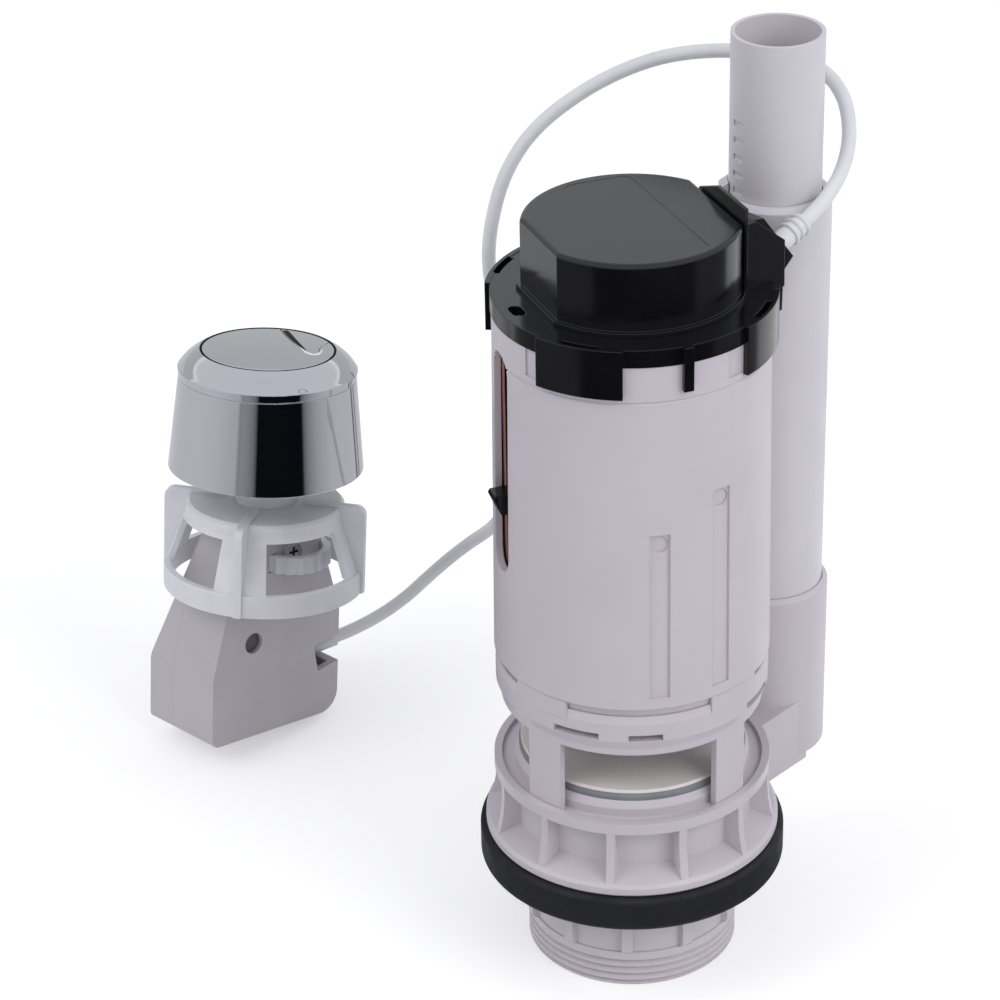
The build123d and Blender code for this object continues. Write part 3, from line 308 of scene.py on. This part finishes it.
def plated_steel():
    """Zinc plated steel of the screw and pins: bright, slightly brushed."""
    material, shader, place = new_material("zinc_plated_steel", roughness=0.32, metallic=1.0)
    tint(material, shader, place, "#c4c4c2", "#d2d2d0", size_mm=1.5)
    surface(material, shader, place, grain_mm=0.3, depth_mm=0.006, edge_mm=0.15)
    return material


def painted_highlight_metal():
    """Chromed edge that is rounded too small to mirror anything, with a painted highlight: near-white metal, pale
    and even.
    """
    material, shader, place = new_material("painted_highlight_chromium_edge", roughness=0.35, metallic=1.0)
    tint(material, shader, place, "#f2f2f4", "#fafafc", size_mm=1)
    return material


def bore_shade():
    """Painted shade down a deep bore: dark grey ABS where little light comes, so that the pin reads as a hole."""
    material, shader, place = new_material("painted_bore_shade", roughness=0.6, ior=1.53)
    tint(material, shader, place, "#514e54", "#5d5a60", size_mm=3)
    gloss(material, shader, place, 0.55, 0.65, size_mm=2)
    return material


def shadow_gap():
    """Painted shade in the gaps between the chromed parts: dull near-black plastic laid where the gaps are."""
    material, shader, place = new_material("painted_gap_shade", roughness=0.6, ior=1.53)
    tint(material, shader, place, "#070709", "#0c0c0f", size_mm=2)
    shader.inputs["Specular IOR Level"].default_value = 0.15
    return material


def inner_acetal():
    """Natural acetal of the inner levers and rods: white and smooth."""
    material, shader, place = new_material("moulded_natural_acetal", roughness=0.38, ior=1.48, subsurface=0.1)
    tint(material, shader, place, "#dcd9d9", "#e2dfdf", size_mm=10)
    surface(material, shader, place, grain_mm=0.8, depth_mm=0.004, edge_mm=0.3)
    return material


def dress(material, *names):
    """Give carried-over nodes their finish."""
    for name in names:
        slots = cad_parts[name].data.materials
        slots.clear()
        slots.append(material)


# Pieces
def start_piece():
    """Nothing selected, so that an operator acts on the new primitive alone."""
    bpy.ops.object.select_all(action="DESELECT")


# Edges that turn by less than this many degrees are shaded smooth
SMOOTH_ANGLE = 35

# Vertices closer than this are one
WELD = 0.000001


def finish_piece(piece, name, material, body, place=None):
    """Put a modelled piece where it belongs, with its finish and the body that carries it."""
    piece.name = name
    piece.data.transform(piece.matrix_world)
    piece.matrix_world = Matrix()
    if place:
        piece.data.transform(place)
    piece.data.materials.clear()
    piece.data.materials.append(material)
    start_piece()
    piece.select_set(True)
    bpy.context.view_layer.objects.active = piece
    bpy.ops.object.shade_smooth_by_angle(angle=radians(SMOOTH_ANGLE))
    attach(piece, body)


def turn_profile(profile, segments):
    """Closed ring, drawn up from a circle through the radii and heights of its section."""
    start_piece()
    radius, height = profile[0]
    bpy.ops.mesh.primitive_circle_add(vertices=segments, radius=radius, location=(0, 0, height))
    piece = bpy.context.object
    bpy.ops.object.mode_set(mode="EDIT")
    for next_radius, next_height in profile[1:] + profile[:1]:
        bpy.ops.mesh.extrude_region_move(TRANSFORM_OT_translate={"value": (0, 0, next_height - height)})
        scale = next_radius / radius
        bpy.ops.transform.resize(value=(scale, scale, 1), center_override=(0, 0, next_height))
        radius, height = next_radius, next_height
    bpy.ops.mesh.select_all(action="SELECT")
    bpy.ops.mesh.remove_doubles(threshold=WELD)
    bpy.ops.mesh.normals_make_consistent(inside=False)
    bpy.ops.object.mode_set(mode="OBJECT")
    return piece


def join_pieces(pieces):
    """One object from several."""
    start_piece()
    for piece in pieces:
        piece.select_set(True)
    bpy.context.view_layer.objects.active = pieces[0]
    bpy.ops.object.join()
    return pieces[0]


# Segments round a full ring, and round a small one
RING_SEGMENTS = 96
SMALL_RING_SEGMENTS = 48

# Smoothness of a stroke, along it and round it
STROKE_STEPS = 12
STROKE_ROUNDING = 4
STROKE_ORDER = 3


def draw_stroke(points, width):
    """Round bead along points of a plan, each with its own share of the width."""
    curve = bpy.data.curves.new("stroke", "CURVE")
    curve.dimensions = "3D"
    curve.resolution_u = STROKE_STEPS
    curve.bevel_depth = width / 2
    curve.bevel_resolution = STROKE_ROUNDING
    curve.use_fill_caps = True
    spline = curve.splines.new("NURBS")
    spline.points.add(len(points) - 1)
    for point, (x, y, share) in zip(spline.points, points):
        point.co = (x, y, 0, 1)
        point.radius = share
    spline.order_u = STROKE_ORDER
    spline.use_endpoint_u = True
    stroke = bpy.data.objects.new("stroke", curve)
    scene.collection.objects.link(stroke)
    start_piece()
    stroke.select_set(True)
    bpy.context.view_layer.objects.active = stroke
    bpy.ops.object.convert(target="MESH")
    return bpy.context.object


# Buttons: radius and height of the rim, and how far the middle stands above it
BUTTON_RADIUS = 0.0201
BUTTON_RIM = 0.0761
BUTTON_CROWN = 0.0009


# Split line, a painted shade, and leaf lip, a painted highlight, on the buttons: x, y and share of the width along
# each, and its width.
# Flatness is the share of the bead's height that is kept, lift its height over the buttons' faces.
SPLIT_POINTS = [
    (-0.0101, 0.0154, 0.9), (-0.0093, 0.0150, 1), (-0.0055, 0.0131, 1), (-0.0014, 0.0111, 0.9),
    (0.0032, 0.0092, 0.7), (0.0075, 0.0077, 0.4), (0.0096, 0.0070, 0.15),
]
SPLIT_WIDTH = 0.0019
SPLIT_FLATNESS = 0.04
SPLIT_LIFT = 0.00011
LIP_POINTS = [
    (0.0064, 0.0074, 0.2), (0.0090, 0.0065, 0.7), (0.0114, 0.0058, 1), (0.0138, 0.0064, 1),
    (0.0136, 0.0090, 0.9), (0.0122, 0.0108, 0.6), (0.0112, 0.0124, 0.15),
]
LIP_WIDTH = 0.0012
LIP_FLATNESS = 0.4
LIP_LIFT = 0.00008

# Section of the dark ring of painted shade in the gap round the buttons: radii and heights
BUTTON_GAP_PROFILE = [(0.02036, 0.07566), (0.02085, 0.07616), (0.02081, 0.07621), (0.02032, 0.07572)]


def lay_on_button(piece, flatness, lift):
    """Flatten a stroke drawn at height zero and lay it over the buttons' dome."""
    for vertex in piece.data.vertices:
        out = (vertex.co.x ** 2 + vertex.co.y ** 2) / BUTTON_RADIUS ** 2
        vertex.co.z = vertex.co.z * flatness + BUTTON_RIM + BUTTON_CROWN * (1 - out) + lift


def make_split_line(material):
    """Painted shade of the tapering gap between the two buttons, widest near the rim, along the leaf's long side."""
    stroke = draw_stroke(SPLIT_POINTS, SPLIT_WIDTH)
    lay_on_button(stroke, SPLIT_FLATNESS, SPLIT_LIFT)
    finish_piece(stroke, "button_split_shade", material, "half_button", UNIT_PLACE)


def make_leaf_lip(material):
    """Raised lip round the leaf's blunt end, in near-white metal: a painted highlight."""
    stroke = draw_stroke(LIP_POINTS, LIP_WIDTH)
    lay_on_button(stroke, LIP_FLATNESS, LIP_LIFT)
    finish_piece(stroke, "leaf_lip", material, "half_button", UNIT_PLACE)


def make_button_gap(material):
    """Painted shade of the gap between the buttons and the bezel: a dark ring on the bezel's inner chamfer."""
    ring = turn_profile(BUTTON_GAP_PROFILE, RING_SEGMENTS)
    finish_piece(ring, "button_gap_shade", material, "valve", UNIT_PLACE)


# Cap: direction in degrees away from its rear flat, and the heights of its foot and top
CAP_FLAT_ANGLE = 69.5
CAP_FOOT = 0.2055
CAP_TOP = 0.2255
CAP_PLACE = Matrix.Rotation(radians(CAP_FLAT_ANGLE - 90), 4, "Z")


# Line round the label field: x along the flats, y towards the rear flat and share of the width
FRAME_POINTS = [
    (0.0237, 0.0107, 1), (0.0050, 0.0107, 1), (-0.0190, 0.0107, 1), (-0.0226, 0.0107, 1), (-0.0250, 0.0100, 1),
    (-0.0254, 0.0068, 1), (-0.0257, 0.0000, 1), (-0.0260, -0.0060, 1), (-0.0256, -0.0068, 1),
    (-0.0246, -0.0083, 1),
]
FRAME_WIDTH = 0.00036
FRAME_FLATNESS = 0.4


def make_cap_frame(material):
    """Fine raised line of the label field on the cap: a long side, a rounded corner and a short side."""
    stroke = draw_stroke(FRAME_POINTS, FRAME_WIDTH)
    for vertex in stroke.data.vertices:
        vertex.co.z = vertex.co.z * FRAME_FLATNESS + CAP_TOP
    finish_piece(stroke, "cap_frame_line", material, "valve", CAP_PLACE)


# Screen of the cable inlet, between the rear flat and the inlet
SCREEN_LEFT = -0.0115
SCREEN_RIGHT = 0.0165
SCREEN_TOP = 0.2299
SCREEN_FRONT = 0.02475
SCREEN_THICKNESS = 0.0011
SCREEN_EDGE = 0.0003
SCREEN_SLOPE = (-0.38, 0, 0.92)


def make_inlet_screen(material):
    """Upright screen of the cable inlet, higher than the cap, with its far upper corner cut away."""
    start_piece()
    size = (SCREEN_RIGHT - SCREEN_LEFT, SCREEN_THICKNESS, SCREEN_TOP - CAP_FOOT)
    middle = ((SCREEN_RIGHT + SCREEN_LEFT) / 2, SCREEN_FRONT + SCREEN_THICKNESS / 2, (SCREEN_TOP + CAP_FOOT) / 2)
    bpy.ops.mesh.primitive_cube_add(size=1, scale=size, location=middle)
    screen = bpy.context.object
    bpy.ops.object.transform_apply(location=True, rotation=True, scale=True)
    bpy.ops.object.mode_set(mode="EDIT")
    bpy.ops.mesh.select_all(action="SELECT")
    bpy.ops.mesh.bisect(plane_co=(0, 0, SCREEN_TOP), plane_no=SCREEN_SLOPE, use_fill=True, clear_outer=True)
    bpy.ops.mesh.select_all(action="SELECT")
    bpy.ops.mesh.normals_make_consistent(inside=False)
    bpy.ops.object.mode_set(mode="OBJECT")
    edges = screen.modifiers.new("edges", "BEVEL")
    edges.width = SCREEN_EDGE
    edges.segments = 3
    bpy.ops.object.modifier_apply(modifier="edges")
    finish_piece(screen, "inlet_screen", material, "valve", CAP_PLACE)


# Brown sleeve behind the slot: sheets on both sides of the way of the slider's tab, in degrees
SLEEVE_SHEETS = ((-130.0, -118.6), (-109.4, -100.0))
SLEEVE_RADIUS = 0.03503
SLEEVE_THICKNESS = 0.0002
SLEEVE_BOTTOM = 0.118
SLEEVE_TOP = 0.194
SLEEVE_STEPS = 8


def make_float_sleeve(material):
    """Thin brown sheets of the float's sleeve, which show through the body's slot."""
    height = SLEEVE_TOP - SLEEVE_BOTTOM
    sheets = []
    for low_turn, high_turn in SLEEVE_SHEETS:
        start_piece()
        bpy.ops.mesh.primitive_plane_add(size=height, location=(SLEEVE_RADIUS, 0, SLEEVE_BOTTOM + height / 2),
                                         rotation=(0, radians(90), 0))
        sheet = bpy.context.object
        bpy.ops.object.transform_apply(location=True, rotation=True, scale=True)
        bpy.ops.object.mode_set(mode="EDIT")
        bpy.ops.mesh.select_all(action="SELECT")
        # Closed up to one upright edge, which spin draws round clockwise
        bpy.ops.transform.resize(value=(1, 0, 1), center_override=(0, 0, 0))
        bpy.ops.mesh.remove_doubles(threshold=WELD)
        bpy.ops.mesh.spin(steps=SLEEVE_STEPS, angle=radians(high_turn - low_turn), center=(0, 0, 0), axis=(0, 0, 1))
        bpy.ops.mesh.select_all(action="SELECT")
        bpy.ops.mesh.normals_make_consistent(inside=False)
        bpy.ops.object.mode_set(mode="OBJECT")
        wall = sheet.modifiers.new("wall", "SOLIDIFY")
        wall.thickness = SLEEVE_THICKNESS
        wall.offset = 0
        bpy.ops.object.modifier_apply(modifier="wall")
        sheet.data.transform(Matrix.Rotation(radians(high_turn), 4, "Z"))
        sheets.append(sheet)
    finish_piece(join_pieces(sheets), "float_sleeve", material, "valve")


# Screw of the housing: centre of its head's face in the unit, and its radius
SCREW_FACE = (0.0084, 0.0048, 0.0112)
SCREW_RADIUS = 0.0028
SCREW_PLACE = UNIT_PLACE @ Matrix.Translation(SCREW_FACE) @ Matrix.Rotation(radians(90), 4, "Y")

# Cross recess: width and length of its arms, thickness, and height of its middle over the face
RECESS_WIDTH = 0.0008
RECESS_ARM = 0.0013
RECESS_THICKNESS = 0.0001
RECESS_LIFT = 0.00001

# Section of the boss round the head: distance from the head's edge, and height over its face
BOSS_PROFILE = ((0.0001, -0.0014), (0.0008, -0.0014), (0.0007, 0.0003), (0.0002, 0.0003))


def make_screw_recess(material):
    """Painted shade of the screw's cross recess: a thin dark block whose four sides are drawn out into arms."""
    start_piece()
    bpy.ops.mesh.primitive_cube_add(size=1, scale=(RECESS_WIDTH, RECESS_WIDTH, RECESS_THICKNESS),
                                    location=(0, 0, RECESS_LIFT))
    cross = bpy.context.object
    bpy.ops.object.transform_apply(location=True, rotation=True, scale=True)
    for reach in (Vector((1, 0, 0)), Vector((-1, 0, 0)), Vector((0, 1, 0)), Vector((0, -1, 0))):
        bpy.ops.object.mode_set(mode="EDIT")
        bpy.ops.mesh.select_all(action="DESELECT")
        bpy.ops.object.mode_set(mode="OBJECT")
        for face in cross.data.polygons:
            face.select = face.normal.dot(reach) > 0.9 and face.center.length < RECESS_WIDTH
        bpy.ops.object.mode_set(mode="EDIT")
        bpy.ops.mesh.extrude_region_move(TRANSFORM_OT_translate={"value": RECESS_ARM * reach})
        bpy.ops.object.mode_set(mode="OBJECT")
    finish_piece(cross, "screw_recess_shade", material, "valve", SCREW_PLACE)


def make_screw_boss(material):
    """Ring boss of the housing round the screw's head."""
    ring = turn_profile([(SCREW_RADIUS + out, height) for out, height in BOSS_PROFILE], SMALL_RING_SEGMENTS)
    finish_piece(ring, "screw_boss", material, "valve", SCREW_PLACE)


# Ribs of the cable's ferrule: places along it from its open end, and the section of one,
# as distance from the ferrule's face and place along it
FERRULE_RADIUS = 0.0028
FERRULE_RIBS = (0.0012, 0.0034, 0.0056)
RIB_PROFILE = (
    (-0.0002, -0.0006), (0.0004, -0.0005), (0.0007, -0.0002), (0.0007, 0.0002), (0.0004, 0.0005), (-0.0002, 0.0006),
)


def make_ferrule_ribs(material):
    """Three rounded ribs round the ferrule where the cable enters it."""
    start = Vector(CABLE_ROUTE[0])
    inward = (start - Vector(CABLE_ROUTE[1])).normalized()
    place = Matrix.Translation(start) @ inward.to_track_quat("Z", "Y").to_matrix().to_4x4()
    ribs = []
    for height in FERRULE_RIBS:
        section = [(FERRULE_RADIUS + out, height + along) for out, along in RIB_PROFILE]
        ribs.append(turn_profile(section, SMALL_RING_SEGMENTS))
    finish_piece(join_pieces(ribs), "ferrule_ribs", material, "valve", place)


# Studio: size of the floor, and how much it glows for the rays that see it directly
FLOOR_SIZE = 12.0
FLOOR_GLOW = 0.42


def seen_directly(owner):
    """One for the rays of the camera, of mirrors and of glass, which see the white ground."""
    rays = add_node(owner, "ShaderNodeLightPath")
    straight = add_node(owner, "ShaderNodeMath", {"operation": "MAXIMUM"}, {
        0: rays.outputs["Is Camera Ray"], 1: rays.outputs["Is Transmission Ray"]})
    return add_node(owner, "ShaderNodeMath", {"operation": "MAXIMUM"}, {
        0: straight.outputs[0], 1: rays.outputs["Is Glossy Ray"]}).outputs[0]


def make_floor():
    """White floor, which shows as the backdrop does and keeps the object's shadow."""
    bpy.ops.mesh.primitive_plane_add(size=FLOOR_SIZE, location=(0, 0, 0))
    floor = bpy.context.object
    floor.name = "studio_floor"
    material = bpy.data.materials.new("white_studio_floor")
    material.use_nodes = True
    tree = material.node_tree
    shader = tree.nodes["Principled BSDF"]
    shader.inputs["Base Color"].default_value = srgb("#e6e6e6")
    shader.inputs["Roughness"].default_value = 0.9
    shader.inputs["Specular IOR Level"].default_value = 0.0
    shader.inputs["Emission Color"].default_value = (1, 1, 1, 1)
    lift = add_node(material, "ShaderNodeMath", {"operation": "MULTIPLY"}, {
        0: seen_directly(material), 1: FLOOR_GLOW})
    tree.links.new(lift.outputs[0], shader.inputs["Emission Strength"])
    floor.data.materials.append(material)


def card_material(name):
    """Bare material for a card, with the object coordinates that its shades follow."""
    material = bpy.data.materials.new(name)
    material.use_nodes = True
    material.node_tree.nodes.clear()
    return material, add_node(material, "ShaderNodeTexCoord").outputs["Object"]


def glow_with(material, position, stops):
    """Give a card its glow: shades laid out by position, each stop with a place from 0 to 1 and a colour."""
    shades = add_node(material, "ShaderNodeValToRGB", inputs={"Fac": position})
    elements = shades.color_ramp.elements
    for place, shade in stops[2:]:
        elements.new(place)
    for element, (place, shade) in zip(elements, stops):
        element.position = place
        element.color = srgb(shade)
    glow = add_node(material, "ShaderNodeEmission", inputs={"Color": shades.outputs["Color"], "Strength": 1.0})
    add_node(material, "ShaderNodeOutputMaterial", inputs={"Surface": glow.outputs[0]})


def mirror_only(card):
    """A card that only shiny surfaces see."""
    card.visible_camera = False
    card.visible_diffuse = False
    card.visible_shadow = False
    card.visible_transmission = False


# Card round the chrome tower, seen only in mirrors, whose shades paint the reflection in the chrome: its size, and
# its shades by direction in degrees about the tower
CARD_SEGMENTS = 96
TOWER_CARD_RADIUS = 0.090
TOWER_CARD_BOTTOM = -0.030
TOWER_CARD_TOP = 0.085
TOWER_CARD_SHADES = [
    (-180, "#dcdde2"), (-114.5, "#dedfe4"), (-93.8, "#d8d9de"), (-81, "#cecfd4"), (-70.7, "#c8c9ce"),
    (-69.5, "#acacb4"), (-67.4, "#9b9ba2"), (-65.2, "#a4a4ab"), (-59.1, "#9a9aa0"), (-54, "#86868c"),
    (-51.2, "#6a6a70"), (-49.6, "#101116"), (-3.1, "#101116"), (-1.7, "#6c6d72"), (3.3, "#96979c"),
    (12.7, "#b6b7bc"), (22.8, "#c8c9ce"), (33.7, "#d2d3d8"), (46, "#d6d8dd"), (74.4, "#d6d8dd"),
    (75.3, "#3a3b40"), (77.1, "#3a3b40"), (77.9, "#c6c8cc"), (82.9, "#c6c8cc"), (83.5, "#46474c"),
    (84.8, "#46474c"), (85.7, "#d2d4d8"), (180, "#dcdde2"),
]


def make_tower_card():
    """Glowing ring round the chrome tower, seen only in mirrors: a painted reflection, with the dark band that its
    front mirrors.
    """
    bpy.ops.mesh.primitive_cylinder_add(vertices=CARD_SEGMENTS, radius=TOWER_CARD_RADIUS, end_fill_type="NOTHING",
                                        depth=TOWER_CARD_TOP - TOWER_CARD_BOTTOM)
    card = bpy.context.object
    card.name = "tower_card"
    card.data.transform(Matrix.Translation((0, 0, (TOWER_CARD_TOP + TOWER_CARD_BOTTOM) / 2)))
    card.matrix_world = UNIT_PLACE
    material, place = card_material("painted_reflection_ring")
    turn = add_node(material, "ShaderNodeTexGradient", {"gradient_type": "RADIAL"}, {"Vector": place})
    glow_with(material, turn.outputs["Fac"],
              [(0.5 + angle / 360, shade) for angle, shade in TOWER_CARD_SHADES])
    card.data.materials.append(material)
    mirror_only(card)


# Tent round the set, seen only in mirrors, whose glowing shades by height paint the reflections: grey low down,
# above it soft white with a bright lower edge
TENT_RADIUS = 1.3
TENT_TOP_RADIUS = 0.02
TENT_HEIGHT = 2.0
TENT_SHADES = [
    (0, "#c9cecf"), (0.46, "#c9cecf"), (0.475, "#ffffff"), (0.52, "#ffffff"), (0.56, "#e9ebf1"), (2.0, "#e4e6ee"),
]


def make_tent():
    """Glowing tent over the whole set, seen only in mirrors: the painted reflection in the cap's top and the bezel.
    """
    bpy.ops.mesh.primitive_cone_add(vertices=CARD_SEGMENTS, radius1=TENT_RADIUS, radius2=TENT_TOP_RADIUS,
                                    depth=TENT_HEIGHT, end_fill_type="NOTHING", location=(0, 0, TENT_HEIGHT / 2))
    tent = bpy.context.object
    tent.name = "studio_tent"
    tent.data.transform(tent.matrix_world)
    tent.matrix_world = Matrix()
    material, place = card_material("painted_reflection_tent")
    height = add_node(material, "ShaderNodeSeparateXYZ", inputs={"Vector": place}).outputs["Z"]
    rise = add_node(material, "ShaderNodeMapRange", inputs={
        "Value": height, "From Min": 0.0, "From Max": TENT_HEIGHT})
    glow_with(material, rise.outputs["Result"], [(level / TENT_HEIGHT, shade) for level, shade in TENT_SHADES])
    tent.data.materials.append(material)
    mirror_only(tent)


# Cloths on the floor, seen only in mirrors, whose colours paint the reflections in the black mouldings: start and
# end in degrees, colour
CLOTH_NEAR = 0.06
CLOTH_FAR = 1.0
CLOTH_HEIGHT = 0.0005
CLOTH_STEPS = 24
CLOTHS = {
    "front_reflection_sheet": (-84, 22, "#060608"),
    "left_reflection_sheet": (-150, -84, "#7c7c80"),
    "right_reflection_sheet": (22, 66, "#727276"),
}


def make_cloth(name, start, end, shade):
    """Flat cloth in the shape of a sector, from one direction round to the other, seen only in mirrors as a painted
    reflection.
    """
    turns = [radians(start + (end - start) * step / CLOTH_STEPS) for step in range(CLOTH_STEPS + 1)]
    rim = [(CLOTH_FAR * cos(turn), CLOTH_FAR * sin(turn), CLOTH_HEIGHT) for turn in turns]
    rim += [(CLOTH_NEAR * cos(turn), CLOTH_NEAR * sin(turn), CLOTH_HEIGHT) for turn in reversed(turns)]
    mesh = bpy.data.meshes.new(name)
    mesh.from_pydata(rim, [], [tuple(range(len(rim)))])
    cloth = bpy.data.objects.new(name, mesh)
    scene.collection.objects.link(cloth)
    material = bpy.data.materials.new(name + "_painted_reflection")
    material.use_nodes = True
    shader = material.node_tree.nodes["Principled BSDF"]
    shader.inputs["Base Color"].default_value = srgb(shade)
    shader.inputs["Roughness"].default_value = 0.95
    shader.inputs["Specular IOR Level"].default_value = 0.0
    mesh.materials.append(material)
    mirror_only(cloth)


# Daylight of the tent: its strength, its colours low down and overhead, and how high the second begins
SKY_STRENGTH = 0.76
SKY_LOW = "#d8dadd"
SKY_HIGH = "#e6e6ec"
SKY_FULL_HEIGHT = 0.9

# Lamps: place, point aimed at, width in metres and power in watts
LAMPS = {
    "key_softbox": ((-0.5, -1.4, 1.6), (0, 0, 0.12), 1.2, 8),
    "fill_softbox": ((1.6, 0.2, 1.2), (0, 0, 0.1), 1.4, 13),
}


def make_world():
    """White to the camera and to mirrors; to the rest a soft tent, brighter overhead than low down."""
    world = bpy.data.worlds.new("studio_tent")
    scene.world = world
    world.use_nodes = True
    tree = world.node_tree
    tree.nodes.clear()
    output = add_node(world, "ShaderNodeOutputWorld")
    direction = add_node(world, "ShaderNodeTexCoord").outputs["Generated"]
    split = add_node(world, "ShaderNodeSeparateXYZ", inputs={"Vector": direction})
    rise = add_node(world, "ShaderNodeValToRGB", inputs={"Fac": split.outputs["Z"]})
    rise.color_ramp.elements[0].color = srgb(SKY_LOW)
    rise.color_ramp.elements[1].position = SKY_FULL_HEIGHT
    rise.color_ramp.elements[1].color = srgb(SKY_HIGH)
    tent = add_node(world, "ShaderNodeBackground", inputs={"Color": rise.outputs["Color"], "Strength": SKY_STRENGTH})
    white = add_node(world, "ShaderNodeBackground", inputs={"Color": (1, 1, 1, 1), "Strength": 1.0})
    mix = add_node(world, "ShaderNodeMixShader", inputs={0: seen_directly(world)})
    tree.links.new(tent.outputs[0], mix.inputs[1])
    tree.links.new(white.outputs[0], mix.inputs[2])
    tree.links.new(mix.outputs[0], output.inputs["Surface"])


def make_lamp(name, place, target, size, power):
    """Soft box that lights the object and leaves no white spot in the chrome."""
    lamp = bpy.data.objects.new(name, bpy.data.lights.new(name, "AREA"))
    scene.collection.objects.link(lamp)
    lamp.data.shape = "DISK"
    lamp.data.size = size
    lamp.data.energy = power
    lamp.location = place
    lamp.rotation_euler = (Vector(target) - Vector(place)).to_track_quat("-Z", "Y").to_euler()
    lamp.visible_glossy = False


make_camera()
scene.view_settings.view_transform = "Standard"

cable = make_cable()
extruded_nylon = sheath_nylon()
cable.data.materials.append(extruded_nylon)
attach(cable, "valve")
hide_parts("cable_sheath")

dress(white_polypropylene(), "valve_base", "post_ring", "body_cylinder")
dress(retainer_plastic(), "seal_retainer")
dress(tube_polypropylene(), "overflow_sleeve", "overflow_tube")
moulded_black = black_abs()
dress(moulded_black, "locking_ring", "cap_cover", "cable_inlet", "float_slider")
make_cap_frame(moulded_black)
make_inlet_screen(moulded_black)
moulded_brown = brown_float_plastic()
dress(moulded_brown, "main_float")
make_float_sleeve(moulded_brown)
dress(seal_rubber(), "flush_seal")
dress(washer_rubber(), "sealing_washer")
dress(extruded_nylon, "inlet_ferrule", "housing_ferrule")
make_ferrule_ribs(extruded_nylon)
bright_chrome = chrome_plate()
dress(bright_chrome, "chrome_collar", "chrome_bezel", "full_flush_button", "half_flush_button")
# Painted shade: thin near-black pieces in the gaps round the buttons and in the screw's recess.
painted_shade = shadow_gap()
make_split_line(painted_shade)
make_button_gap(painted_shade)
# Painted highlight: the leaf's lip in near-white metal.
make_leaf_lip(painted_highlight_metal())
dress(cage_nylon(), "cage_nut", "threaded_neck", "adjusting_wheel")
moulded_grey = housing_abs()
dress(moulded_grey, "housing_front", "housing_rear")
make_screw_boss(moulded_grey)
make_screw_recess(painted_shade)
dress(plated_steel(), "housing_screw", "lever_pin")
# Painted shade: the pin is dark so that it reads as a bore.
dress(bore_shade(), "rocker_pin")
dress(inner_acetal(), "valve_stem", "cap_lever", "rocker_lever", "full_push_rod", "half_push_rod")

make_floor()
# Painted reflections: a ring, a tent and floor sheets that only mirrors see.
make_tower_card()
make_tent()
for name, (start, end, shade) in CLOTHS.items():
    make_cloth(name, start, end, shade)
make_world()
for name, (place, target, size, power) in LAMPS.items():
    make_lamp(name, place, target, size, power)
